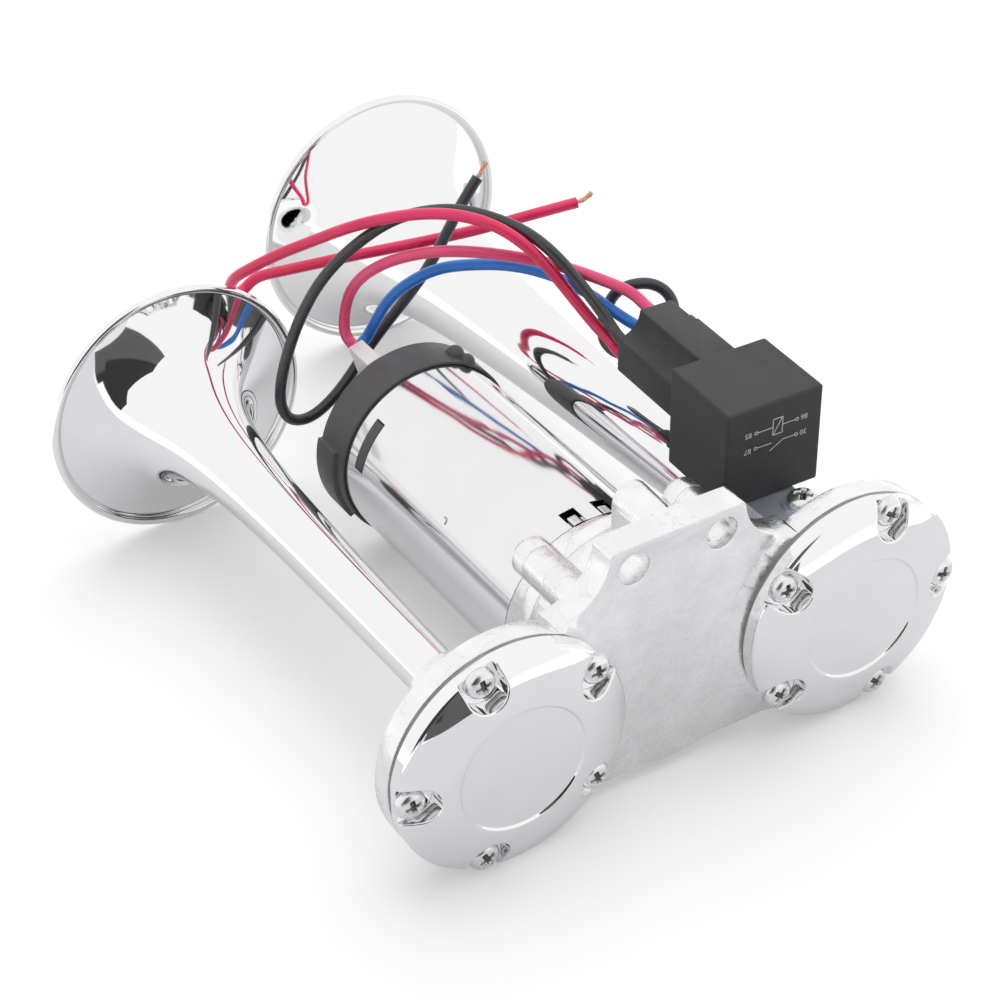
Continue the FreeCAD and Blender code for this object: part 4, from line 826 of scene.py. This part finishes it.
def screw_tree():
    sizes = (("Head Radius", FLOAT, 0.0039), ("Head Height", FLOAT, 0.0027), ("Shank Radius", FLOAT, 0.002),
             ("Length", FLOAT, 0.008), ("Cross Length", FLOAT, 0.0044), ("Cross Width", FLOAT, 0.0014),
             ("Cross Depth", FLOAT, 0.0015), ("Finish", "NodeSocketMaterial", None))
    tree, given, result = new_geometry_tree("pan_screw", sizes)
    grid, across, around = unit_grid(tree, RINGS + 2, AROUND + 1)
    row = calc(tree, "ROUND", calc(tree, "MULTIPLY_ADD", across, RINGS + 1, (RINGS + 1) / 2))
    angle = calc(tree, "MULTIPLY", around, 2 * math.pi)
    above = calc(tree, "SUBTRACT", 1, calc(tree, "GREATER_THAN", row, RINGS + 0.5))
    share = calc(tree, "SINE", calc(tree, "MULTIPLY", row, math.pi / 2 / RINGS))
    share = calc(tree, "MULTIPLY", share, above)
    radius = calc(tree, "MULTIPLY", share, given["Head Radius"])
    left = calc(tree, "MAXIMUM", calc(tree, "SUBTRACT", 1, calc(tree, "POWER", share, CROWN_OUT)), 0)
    crown = calc(tree, "MULTIPLY", calc(tree, "POWER", left, 1 / CROWN_UP), given["Head Height"])
    profile = calc(tree, "MULTIPLY", crown, above)
    x = calc(tree, "MULTIPLY", radius, calc(tree, "COSINE", angle))
    z = calc(tree, "MULTIPLY", radius, calc(tree, "SINE", angle))
    halves = [calc(tree, "MULTIPLY", given[label], 0.5) for label in ("Cross Length", "Cross Width")]
    cross = calc(tree, "MAXIMUM", arm_mask(tree, x, z, *halves), arm_mask(tree, z, x, *halves))
    rise = calc(tree, "MULTIPLY", calc(tree, "DIVIDE", radius, halves[0]), BOWL)
    bowl = calc(tree, "MULTIPLY", cross, calc(tree, "SUBTRACT", 1.0, rise))
    sink = calc(tree, "MULTIPLY", bowl, given["Cross Depth"])
    height = calc(tree, "MULTIPLY", calc(tree, "MAXIMUM", calc(tree, "SUBTRACT", profile, sink), 0), -1)
    # The cross is stored as "recess", where the screw steel paints shade into the sink.
    marked = made(tree, "GeometryNodeStoreNamedAttribute",
                  {"Geometry": grid, "Name": "recess", "Value": cross})
    head = moved(tree, marked, place_at(tree, x, height, z))
    length = given["Length"]
    rod = made(tree, "GeometryNodeMeshCylinder", {"Vertices": 32, "Radius": given["Shank Radius"],
                                                  "Depth": length})
    shank = along_y(tree, rod, place_at(tree, y=calc(tree, "MULTIPLY", length, 0.5)))
    end_tree(tree, given, result, joined(tree, shank, head))
    return tree, sizes


SCREW, SCREW_SIZES = screw_tree()
print(SCREW.name, len(SCREW.nodes), "nodes")

# %% Tree that sets screws on seat points
def screws_tree():
    sizes = SCREW_SIZES[:-1] + (("Tip", FLOAT, 0.0), ("Seed", "NodeSocketInt", 4), SCREW_SIZES[-1])
    tree, given, result = new_geometry_tree("screws_on_seats", sizes)
    screw = add(tree, "GeometryNodeGroup", node_tree=SCREW)
    for label, _, _ in SCREW_SIZES:
        tree.links.new(given[label], screw.inputs[label])
    spin = add(tree, "FunctionNodeRandomValue", {2: 0.0, 3: math.pi / 2, "Seed": given["Seed"]},
               data_type="FLOAT")
    aimed = made(tree, "FunctionNodeEulerToRotation", {0: place_at(tree, given["Tip"])})
    own = made(tree, "FunctionNodeAxisAngleToRotation", {"Axis": (0, 1, 0), "Angle": spin.outputs[1]})
    both = made(tree, "FunctionNodeRotateRotation", {0: aimed, 1: own}, rotation_space="LOCAL")
    copies = made(tree, "GeometryNodeInstanceOnPoints", {"Points": given["Geometry"],
                                                         "Instance": screw.outputs[0], "Rotation": both})
    end_tree(tree, given, result, copies)
    return tree


SCREWS = screws_tree()
print(SCREWS.name, len(SCREWS.nodes), "nodes")

# %% Set the fifteen screws
SCREW_CIRCLE = 27.2
RELAY_SCREW = (51.5, 18.8, -18.7)


def seats(name, places):
    """Mesh of loose seat points."""
    mesh = bpy.data.meshes.new(name)
    mesh.from_pydata([(x * MM, y * MM, z * MM) for x, y, z in places], [], [])
    return mesh


def circle_seats(centre_x, first_degrees):
    """Five seats round a cap."""
    turns = [math.radians(first_degrees + 72 * step) for step in range(5)]
    return [(centre_x + SCREW_CIRCLE * math.cos(turn), POCKET_Y, AXIS_Z + SCREW_CIRCLE * math.sin(turn))
            for turn in turns]


def set_screws(name, places, tip, seed, **sizes):
    values = {"Tip": tip, "Seed": seed, "Finish": SCREW_STEEL}
    values.update({key.replace("_", " "): size * MM for key, size in sizes.items()})
    piece = grown(name + "_cross", SCREWS, values, seats(name + "_seats", places))
    open_edges = closed_outwards(piece.data)
    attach(piece, "frame")
    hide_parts(name)
    print(piece.name, len(piece.data.polygons), "faces,", open_edges, "open edges")


set_screws("left_cap_screws", circle_seats(-CHAMBER_X, 180), 0.0, 3)
set_screws("right_cap_screws", circle_seats(CHAMBER_X, 0), 0.0, 8)
PUMP_SEATS = ((-20.6, 30.5, -11.8), (22.2, 30.5, -11.8), (-21.0, 30.5, -54.5), (21.0, 30.5, -54.5))
set_screws("pump_screws", PUMP_SEATS, math.pi, 2, Length=12.4)
set_screws("relay_screw", [RELAY_SCREW], -math.pi / 2, 5, Head_Radius=4.1, Shank_Radius=2.1, Length=7.5,
           Cross_Length=4.8, Cross_Width=1.5)

# %% [markdown]
# Cast and moulded edges are never knife-sharp. A merged copy of a CAD node gets a small Bevel on its sharp
# edges, so that each edge catches a thin line of light, and the copy stands for the node.

# %% Soften the edges of cast and moulded pieces
FLAT = math.radians(0.4)


def softened(name, material, radius_mm, angle=30, segments=2, join=2e-6):
    """Copy of a CAD node with small rounds on its sharp edges. Corners nearer than join become one."""
    mesh = nodes[name].data.copy()
    work = bmesh.new()
    work.from_mesh(mesh)
    bmesh.ops.remove_doubles(work, verts=work.verts, dist=join)
    bmesh.ops.dissolve_limit(work, angle_limit=FLAT, verts=work.verts, edges=work.edges)
    work.to_mesh(mesh)
    work.free()
    mesh.materials.clear()
    mesh.materials.append(material)
    holder = linked(name + "_holder", mesh)
    bevel = holder.modifiers.new("rounds", "BEVEL")
    bevel.width = radius_mm * MM
    bevel.segments = segments
    bevel.limit_method = "ANGLE"
    bevel.angle_limit = math.radians(angle)
    bevel.use_clamp_overlap = False
    bevel.harden_normals = False
    bevel.miter_outer = "MITER_ARC"
    bpy.context.view_layer.update()
    ready = holder.evaluated_get(bpy.context.evaluated_depsgraph_get())
    result = bpy.data.meshes.new_from_object(ready)
    bpy.data.objects.remove(holder)
    result.shade_smooth()
    result.set_sharp_from_angle(angle=math.radians(angle))
    piece = linked(name + "_soft", result)
    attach(piece, "frame")
    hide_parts(name)
    print(piece.name, len(result.polygons), "faces")


softened("manifold_casting", CAST, 0.3, join=3e-5)
softened("pump_housing", CAST, 0.3)
softened("relay_socket", SOCKET_BLACK, 0.4)
softened("relay_tab", ZINC, 0.25)
softened("motor_end_cap", BAND_BLACK, 0.3)
softened("terminal_plug", NYLON, 0.35)

# %% [markdown]
# The relay's front carries a small printed diagram, upside down as the relay hangs: a coil between two
# terminals and a contact between two others, with the terminals' standard numbers. It is thin raised ink of
# its own.

# %% Relay diagram
PRINT = moulded("relay_print", (0.55, 0.56, 0.56), (0.66, 0.67, 0.67), 0.55, 0.1, 0.004)
INK, STROKE = 0.05, 0.24
COIL_ROW, CONTACT_ROW = 7.5, 12.0
COIL_LEFT, COIL_RIGHT, COIL_HALF = 13.4, 16.2, 2.3
LEFT_END, RIGHT_END = 9.05, 19.95
FRONT_CORNER = (33.1, 26.1, 8.5)
RELAY_YAW = math.radians(-2.4)


def ink_bar(work, start, end, width=STROKE):
    """Closed bar of ink between two places, in millimetres from the front's upper left corner."""
    start, end = Vector(start), Vector(end)
    along = (end - start).normalized()
    side = Vector((-along.y, along.x)) * width / 2
    flat = [start + side, start - side, end - side, end + side]
    corners = [work.verts.new((p.x, p.y, depth)) for depth in (-INK, INK) for p in flat]
    for face in ((0, 1, 2, 3), (7, 6, 5, 4), (0, 4, 5, 1), (1, 5, 6, 2), (2, 6, 7, 3), (3, 7, 4, 0)):
        work.faces.new([corners[index] for index in face])


def ink_ring(work, centre, radius, sides=24):
    """Closed ring of ink."""
    x, y = centre
    angles = [2 * math.pi * step / sides for step in range(sides)]
    loops = []
    for reach, depth in ((radius, -INK), (radius, INK), (radius - STROKE, INK), (radius - STROKE, -INK)):
        loops.append([work.verts.new((x + reach * math.cos(angle), y + reach * math.sin(angle), depth))
                      for angle in angles])
    for first, second in zip(loops, loops[1:] + loops[:1]):
        for step in range(sides):
            after = (step + 1) % sides
            work.faces.new((first[step], first[after], second[after], second[step]))


def ink_number(work, body, centre, size=2.1):
    """Upside-down number."""
    curve = bpy.data.curves.new("number", "FONT")
    curve.body = body
    curve.size = size
    curve.extrude = INK
    curve.align_x = "CENTER"
    curve.align_y = "CENTER"
    holder = bpy.data.objects.new("number", curve)
    mesh = bpy.data.meshes.new_from_object(holder)
    bpy.data.objects.remove(holder)
    mesh.transform(Matrix.Translation((*centre, 0)) @ Matrix.Diagonal((-1, 1, -1, 1)))
    work.from_mesh(mesh)
    bpy.data.meshes.remove(mesh)


def relay_print():
    work = bmesh.new()
    for row in (COIL_ROW, CONTACT_ROW):
        for place in (8.5, 20.5):
            ink_ring(work, (place, row), 0.55)
    left, right, low, high = COIL_LEFT, COIL_RIGHT, COIL_ROW - COIL_HALF, COIL_ROW + COIL_HALF
    for start, end in (((left, low), (right, low)), ((left, high), (right, high)),
                       ((left, low), (left, high)), ((right, low), (right, high)),
                       ((13.5, high), (16.1, low)),
                       ((LEFT_END, COIL_ROW), (left, COIL_ROW)), ((right, COIL_ROW), (RIGHT_END, COIL_ROW)),
                       ((LEFT_END, CONTACT_ROW), (13.2, CONTACT_ROW)),
                       ((16.6, CONTACT_ROW), (RIGHT_END, CONTACT_ROW)), ((12.8, 14.2), (16.6, CONTACT_ROW))):
        ink_bar(work, start, end)
    for body, centre in (("86", (22.6, 7.4)), ("85", (6.2, 7.5)), ("30", (22.6, 11.9)), ("87", (6.2, 12.1))):
        ink_number(work, body, centre)
    bmesh.ops.recalc_face_normals(work, faces=work.faces)
    mesh = bpy.data.meshes.new("relay_print")
    work.to_mesh(mesh)
    work.free()
    pivot = Vector((RELAY_SCREW[0], RELAY_SCREW[1], 0))
    yaw = Matrix.Translation(pivot) @ Matrix.Rotation(RELAY_YAW, 4, "Z") @ Matrix.Translation(-pivot)
    upright = Matrix(((1, 0, 0), (0, 0, 1), (0, -1, 0))).to_4x4()
    mesh.transform(Matrix.Scale(MM, 4) @ yaw @ Matrix.Translation(FRONT_CORNER) @ upright)
    mesh.materials.append(PRINT)
    piece = linked("relay_print", mesh)
    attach(piece, "frame")
    print(piece.name, len(mesh.polygons), "faces")


relay_print()

# %% [markdown]
# A wire is a smooth NURBS curve through its route, swept with a round section. The routes are those of the
# CAD wires, and where three wires cross above the motor they pass a few millimetres nearer or further, so
# that each lies in front of the right one. Each end goes back into the object, in the plug or in the socket,
# except the two long ones, which end in bare strands.

# %% The wires' routes, in millimetres
ROUTES = {
    "pink_wire": (
        (-7.7, 134.5, -15.4), (-7.7, 137.4, -15.4), (-8.4, 139.9, -13.0), (-8.0, 140.5, -8.0),
        (-7.0, 139.0, -0.5), (-4.5, 135.0, 6.5), (1.0, 128.5, 12.5), (8.9, 121.4, 15.8), (17.3, 115.8, 15.7),
        (27.8, 110.7, 13.2), (37.3, 103.7, 10.7), (44.1, 95.6, 8.4), (48.9, 89.0, 6.4), (50.17, 83.6, 4.0),
        (50.0, 79.62, 4.0)),
    "blue_wire": (
        (-6.5, 134.5, -19.7), (-6.5, 137.2, -19.7), (-5.0, 139.6, -18.7), (-1.0, 140.8, -17.2),
        (1.0, 139.5, -12.0), (4.0, 137.5, -5.5), (8.0, 133.5, 0.5), (14.5, 129.0, 5.0), (21.0, 123.0, 7.0),
        (29.0, 115.5, 8.0), (37.0, 108.0, 6.0), (42.5, 99.5, 3.0), (45.0, 92.5, 0.5), (47.8, 88.0, -1.8),
        (48.17, 83.8, -1.5), (48.0, 79.7, -1.5)),
    "long_black_wire": (
        (41.2, 79.98, -2.0), (41.36, 83.8, -2.0), (42.0, 87.5, -1.5), (41.0, 91.0, 2.0), (38.5, 96.5, 8.0),
        (34.0, 101.5, 16.0), (29.9, 108.4, 20.8), (24.5, 115.4, 23.4), (18.2, 122.7, 24.6),
        (11.2, 128.7, 23.6), (3.9, 135.1, 19.8), (-5.7, 139.1, 12.7), (-14.0, 141.0, 5.0),
        (-20.0, 143.0, -6.0), (-24.5, 144.0, -18.0), (-26.5, 144.5, -27.0), (-26.5, 144.5, -33.0),
        (-24.0, 144.5, -38.0), (-18.5, 144.5, -39.5), (-12.5, 144.5, -37.0), (-6.5, 144.5, -32.0),
        (-0.5, 144.5, -25.0), (6.0, 144.5, -18.5), (14.0, 144.5, -11.5), (20.5, 144.5, -5.0),
        (26.5, 144.5, 3.5), (31.5, 144.5, 11.5), (37.0, 144.5, 18.0)),
    "long_red_wire": (
        (41.2, 79.98, -6.4), (41.37, 84.0, -6.4), (42.0, 88.0, -5.8), (40.0, 92.5, -2.5), (37.0, 99.0, 4.0),
        (31.7, 102.9, 13.3), (26.1, 106.9, 20.7), (20.6, 112.9, 24.7), (13.1, 120.4, 26.2),
        (5.3, 129.3, 23.9), (-3.8, 138.9, 19.3), (-12.5, 151.0, 10.5), (-18.0, 157.0, 6.0),
        (-23.5, 163.0, 0.5), (-26.1, 167.0, -3.2), (-26.6, 169.9, -6.9), (-25.9, 171.2, -10.1),
        (-23.9, 172.4, -12.2), (-20.9, 173.2, -12.1), (-18.6, 173.1, -10.2), (-16.1, 171.9, -8.6),
        (-10.5, 169.0, -7.5), (-4.5, 165.5, -6.0), (3.5, 160.0, -3.5), (15.0, 155.0, -2.0),
        (26.5, 151.0, -1.0), (38.5, 146.5, 0.5), (51.5, 141.0, 3.5), (63.5, 136.0, 6.0)),
    "black_jumper_wire": (
        (57.6, 79.3, -3.0), (57.8, 83.6, -3.0), (61.0, 86.5, -1.0), (60.5, 89.5, 2.5), (57.5, 92.5, 4.5),
        (53.5, 95.5, 4.0), (50.0, 98.0, 1.5), (48.0, 99.0, -3.0), (45.5, 97.5, -7.0), (44.5, 95.0, -10.5),
        (45.3, 90.5, -12.0), (47.8, 84.6, -10.6), (47.6, 79.72, -10.6)),
    "black_strand": ((37.0, 144.5, 18.0), (38.6, 144.5, 19.9), (39.6, 144.3, 22.4)),
    "red_strand": ((63.5, 136.0, 6.0), (65.8, 135.04, 6.48), (67.2, 134.4, 8.8)),
}
print(sum(len(points) for points in ROUTES.values()), "route points")

# %% Helpers for the wires
WIRE_D = 3.1 * MM


def route_line(name, places):
    """Open NURBS curve of order 3 through a route's places, as a line without a section."""
    curve = bpy.data.curves.new(name, "CURVE")
    curve.dimensions = "3D"
    spline = curve.splines.new("NURBS")
    spline.points.add(len(places) - 1)
    for point, place in zip(spline.points, places):
        point.co = (*[value * MM for value in place], 1)
    spline.order_u = 3
    spline.use_endpoint_u = True
    spline.resolution_u = 12
    return curve


def route_curve(name, diameter, material):
    """Sleeve of a wire: its route's line with a round section."""
    curve = route_line(name + "_line", ROUTES[name])
    curve.bevel_depth = diameter / 2
    curve.bevel_resolution = 6
    curve.use_fill_caps = True
    curve.materials.append(material)
    return linked(name + "_sleeve", curve)


def route_length(name):
    """Length of the NURBS line itself, from its mesh without a section."""
    holder = bpy.data.objects.new("measure", route_line("measure", ROUTES[name]))
    line = bpy.data.meshes.new_from_object(holder)
    places = [vertex.co.copy() for vertex in line.vertices]
    bpy.data.objects.remove(holder)
    bpy.data.meshes.remove(line)
    return sum((b - a).length for a, b in zip(places, places[1:]))


print("wire helpers ready")

# %% [markdown]
# The last millimetres of each long wire are bare: a bundle of thin copper strands that twist round each other
# and fan out towards the tip. The tree spreads them over the bundle by a fixed angle from one to the next,
# and gives each its own length and its own share of the fanning from a fixed seed.

# %% Tree for the bare strands
STEPS = 12
INT = "NodeSocketInt"
GOLDEN_ANGLE = 2.39996
LENGTH_SPREAD = 0.12


def strands_tree():
    sizes = (("Strands", INT, 16), ("Bundle Radius", FLOAT, 0.00055), ("Strand Radius", FLOAT, 0.00016),
             ("Twist", FLOAT, 2.4), ("Spread", FLOAT, 0.5), ("Seed", INT, 1),
             ("Finish", "NodeSocketMaterial", None))
    tree, given, result = new_geometry_tree("bare_strands", sizes)
    route = made(tree, "GeometryNodeMeshToCurve", {"Mesh": given["Geometry"]})
    line = made(tree, "GeometryNodeResampleCurve", {"Curve": made(tree, "GeometryNodeCurvePrimitiveLine"),
                                                    "Count": STEPS})
    starts = made(tree, "GeometryNodePoints", {"Count": given["Strands"]})
    copies = made(tree, "GeometryNodeInstanceOnPoints", {"Points": starts, "Instance": line})
    many = made(tree, "GeometryNodeRealizeInstances", {"Geometry": copies})
    index = made(tree, "GeometryNodeInputIndex")
    strand = calc(tree, "FLOOR", calc(tree, "DIVIDE", calc(tree, "ADD", index, 0.1), STEPS))
    step = calc(tree, "SUBTRACT", index, calc(tree, "MULTIPLY", strand, STEPS))
    own = add(tree, "FunctionNodeRandomValue", {2: 0.0, 3: 1.0, "ID": strand, "Seed": given["Seed"]},
              data_type="FLOAT").outputs[1]
    share = calc(tree, "DIVIDE", step, STEPS - 1)
    cut = calc(tree, "SUBTRACT", 1, calc(tree, "MULTIPLY", own, LENGTH_SPREAD))
    reached = calc(tree, "MULTIPLY", share, cut)
    sample = add(tree, "GeometryNodeSampleCurve", {"Curves": route, "Factor": reached}, mode="FACTOR").outputs
    ring = calc(tree, "SQRT", calc(tree, "DIVIDE", calc(tree, "ADD", strand, 0.5), given["Strands"]))
    ring = calc(tree, "MULTIPLY", ring, given["Bundle Radius"])
    own_spread = calc(tree, "MULTIPLY", own, given["Spread"])
    fan = calc(tree, "MULTIPLY", calc(tree, "MULTIPLY", share, share), own_spread)
    ring = calc(tree, "MULTIPLY", ring, calc(tree, "ADD", 1, fan))
    twist = calc(tree, "MULTIPLY", share, given["Twist"])
    angle = calc(tree, "MULTIPLY_ADD", strand, GOLDEN_ANGLE, twist)
    cross = made(tree, "ShaderNodeVectorMath", {0: sample["Tangent"], 1: sample["Normal"]},
                 operation="CROSS_PRODUCT")
    parts = []
    for axis, wave in ((sample["Normal"], "COSINE"), (cross, "SINE")):
        reach = calc(tree, "MULTIPLY", ring, calc(tree, wave, angle))
        parts.append(made(tree, "ShaderNodeVectorMath", {0: axis, "Scale": reach}, operation="SCALE"))
    offset = made(tree, "ShaderNodeVectorMath", dict(enumerate(parts)), operation="ADD")
    places = made(tree, "ShaderNodeVectorMath", {0: sample["Position"], 1: offset}, operation="ADD")
    strands = tube(tree, moved(tree, many, places), circle(tree, 7, given["Strand Radius"]), caps=True)
    end_tree(tree, given, result, strands)
    return tree


STRAND_TREE = strands_tree()
print(STRAND_TREE.name, len(STRAND_TREE.nodes), "nodes")

# %% Grow the strands at both bare ends
INSIDE_MM = 1.5


def bent_line(points, count=12):
    """Smooth line over three route points, with a start pushed back into the sleeve."""
    first, corner, last = [Vector(point) * MM for point in points]
    first = first - (corner - first).normalized() * INSIDE_MM * MM
    line = []
    for step in range(count + 1):
        share = step / count
        line.append(first * (1 - share) ** 2 + corner * 2 * share * (1 - share) + last * share ** 2)
    return line


def grow_strands(name, seed):
    line = bent_line(ROUTES[name])
    base = bpy.data.meshes.new(name + "_route")
    base.from_pydata(line, [(step, step + 1) for step in range(len(line) - 1)], [])
    piece = grown(name + "_copper", STRAND_TREE, {"Seed": seed, "Finish": COPPER}, base)
    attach(piece, "frame")
    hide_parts(name)
    print(piece.name, len(piece.data.polygons), "faces")
    return piece


bare_ends = {
    "long_black_wire": grow_strands("black_strand", 3),
    "long_red_wire": grow_strands("red_strand", 9),
}

WIRES = (
    ("pink_wire", WIRE_D, PINK_SLEEVE, "pink_sleeve", "object"),
    ("blue_wire", WIRE_D, BLUE_SLEEVE, "blue_sleeve", "object"),
    ("long_black_wire", WIRE_D, BLACK_SLEEVE, "black_sleeve", "bare"),
    ("long_red_wire", WIRE_D, RED_SLEEVE, "red_sleeve", "bare"),
    ("black_jumper_wire", WIRE_D, BLACK_SLEEVE, "black_sleeve", "object"),
)
for name, diameter, material, slot, far_end in WIRES:
    wire = route_curve(name, diameter, material)
    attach(wire, "frame")
    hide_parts(name)
    route_length(name)
    print(name, round(route_length(name) / MM, 1), "mm")

# %% [markdown]
# The horn stands on the rims of its two mouths and on the left flange, so the floor tilts a little against
# the CAD frame. A white surround and one soft lamp give the even light of a product photograph.

# %% Floor
FLOOR_HEIGHT = -65.449 * MM
FLOOR_RISE_X = -0.01032
FLOOR_RISE_Y = -0.0383
FLOOR_HALF = 1.6
FLOOR_LIFT = 0.22
FLOOR_FADE = (0.45, 1.3)
FLOOR_FRONT = 0.265
FLOOR_BLUR = 0.006
FLOOR_NEAR_LIFT = 0.20
FLOOR_FAR_LIFT = 0.60
FLOOR_MIRRORED = (0.60, 0.60, 0.605, 1)


def floor_finish():
    """Pale floor that keeps shadows. Mirrors see it grey near the horn and white beyond the front line."""
    material, tree, shader = new_finish("pale_floor", Roughness=0.85, Specular_IOR_Level=0.1)
    rays = add(tree, "ShaderNodeLightPath")
    reach = distance_from(tree, (0, 0, 0))
    near, far = FLOOR_FRONT - FLOOR_BLUR, FLOOR_FRONT + FLOOR_BLUR
    front = between(tree, reach, FLOOR_NEAR_LIFT, FLOOR_FAR_LIFT, near, far)
    pale = tint(tree, grain(tree, 60, 2), (0.87, 0.87, 0.87), (0.89, 0.89, 0.89))
    glossy = rays.outputs["Is Glossy Ray"]
    dress(tree, shader, Base_Color=mixed(tree, glossy, pale, FLOOR_MIRRORED))
    fade = between(tree, reach, FLOOR_LIFT, 1.0, FLOOR_FADE[0], FLOOR_FADE[1])
    seen = calc(tree, "MULTIPLY", rays.outputs["Is Camera Ray"], fade)
    glow = made(tree, "ShaderNodeEmission", {"Color": (1, 1, 1, 1),
                                             "Strength": calc(tree, "MULTIPLY_ADD", glossy, front, seen)})
    both = made(tree, "ShaderNodeAddShader", {0: shader.outputs[0], 1: glow})
    tree.links.new(both, tree.nodes["Material Output"].inputs["Surface"])
    return material


corners = [(x * FLOOR_HALF, y * FLOOR_HALF) for x, y in ((-1, -1), (1, -1), (1, 1), (-1, 1))]
floor_mesh = bpy.data.meshes.new("floor")
floor_mesh.from_pydata([(x, y, FLOOR_HEIGHT + FLOOR_RISE_X * x + FLOOR_RISE_Y * y) for x, y in corners],
                       [], [(0, 1, 2, 3)])
floor_mesh.materials.append(floor_finish())
floor = linked("floor", floor_mesh)
print("floor at", FLOOR_HEIGHT / MM, "mm")

# %% World and lamp
world = bpy.data.worlds.new("studio")
bpy.context.scene.world = world
world.use_nodes = True
sky = world.node_tree
rays = add(sky, "ShaderNodeLightPath")
mirror = calc(sky, "MAXIMUM", rays.outputs["Is Camera Ray"], rays.outputs["Is Glossy Ray"])
seen = calc(sky, "MAXIMUM", mirror, rays.outputs["Is Transmission Ray"])
lights = sky.nodes["Background"]
lights.inputs["Color"].default_value = (0.97, 0.98, 1.0, 1)
lights.inputs["Strength"].default_value = 0.60
shown = made(sky, "ShaderNodeBackground", {"Color": (1, 1, 1, 1), "Strength": 1.0})
mix = made(sky, "ShaderNodeMixShader", {0: seen, 1: lights.outputs[0], 2: shown})
sky.links.new(mix, sky.nodes["World Output"].inputs["Surface"])


def lamp(name, place, target, size, watts):
    """Square soft lamp that faces a target. Mirrors don't see it, as the white surround is bright enough."""
    data = bpy.data.lights.new(name, "AREA")
    data.shape = "SQUARE"
    data.size = size
    data.energy = watts
    holder = linked(name, data)
    aim = (Vector(target) - Vector(place)).to_track_quat("-Z", "Y")
    holder.matrix_world = Matrix.Translation(place) @ aim.to_matrix().to_4x4()
    holder.visible_glossy = False


HORN_MIDDLE = (0, 0.1, -0.03)
lamp("softbox", (0.35, 0.35, 1.1), HORN_MIDDLE, 1.7, 10.5)
bpy.context.scene.view_settings.view_transform = "Standard"
print("world and lamp set")

# %% [markdown]
# Two black cards give the chrome its dark accents. Only mirrors see them, and a ray that comes from further
# away than the short bell passes through, so the long bell stays bright.

# %% Dark cards
SHORT_BELL = (-0.0624, 0.1594, -0.0135)
SAME_PATH = 0.02


def dark_card(name, corners):
    """Card that only mirrors near the short bell see, black on its left and a little paler on its right."""
    mesh = bpy.data.meshes.new(name)
    mesh.from_pydata(corners, [], [tuple(range(len(corners)))])
    card = linked(name, mesh)
    material, tree, shader = new_finish(name + "_black", Roughness=0.9)
    shade = add(tree, "ShaderNodeSeparateXYZ", {0: add(tree, "ShaderNodeTexCoord").outputs["Object"]})
    side = between(tree, shade.outputs["X"], 0.0, 1.0, -0.18, -0.14)
    dress(tree, shader, Base_Color=tint(tree, side, (0.03, 0.03, 0.03), (0.12, 0.12, 0.12)))
    length = add(tree, "ShaderNodeLightPath").outputs["Ray Length"]
    farthest = calc(tree, "ADD", distance_from(tree, SHORT_BELL), SAME_PATH)
    beyond = calc(tree, "GREATER_THAN", length, farthest)
    clear = made(tree, "ShaderNodeBsdfTransparent")
    either = made(tree, "ShaderNodeMixShader", {0: beyond, 1: shader.outputs[0], 2: clear})
    tree.links.new(either, tree.nodes["Material Output"].inputs["Surface"])
    mesh.materials.append(material)
    card.visible_camera = False
    card.visible_diffuse = False
    card.visible_shadow = False


NEAR_CARD = [(-0.20, -0.235, -0.058), (-0.026, -0.235, -0.058), (-0.026, -0.235, -0.018),
             (-0.20, -0.235, -0.018)]
FAR_CARD = [(-0.80, -0.45, -0.040), (0.004, -0.45, -0.040), (0.004, -0.45, 0.52), (-0.28, -0.45, 0.57),
            (-0.55, -0.45, 0.20), (-0.80, -0.45, 0.12)]
dark_card("near_card", NEAR_CARD)
dark_card("far_card", FAR_CARD)
print("two dark cards")
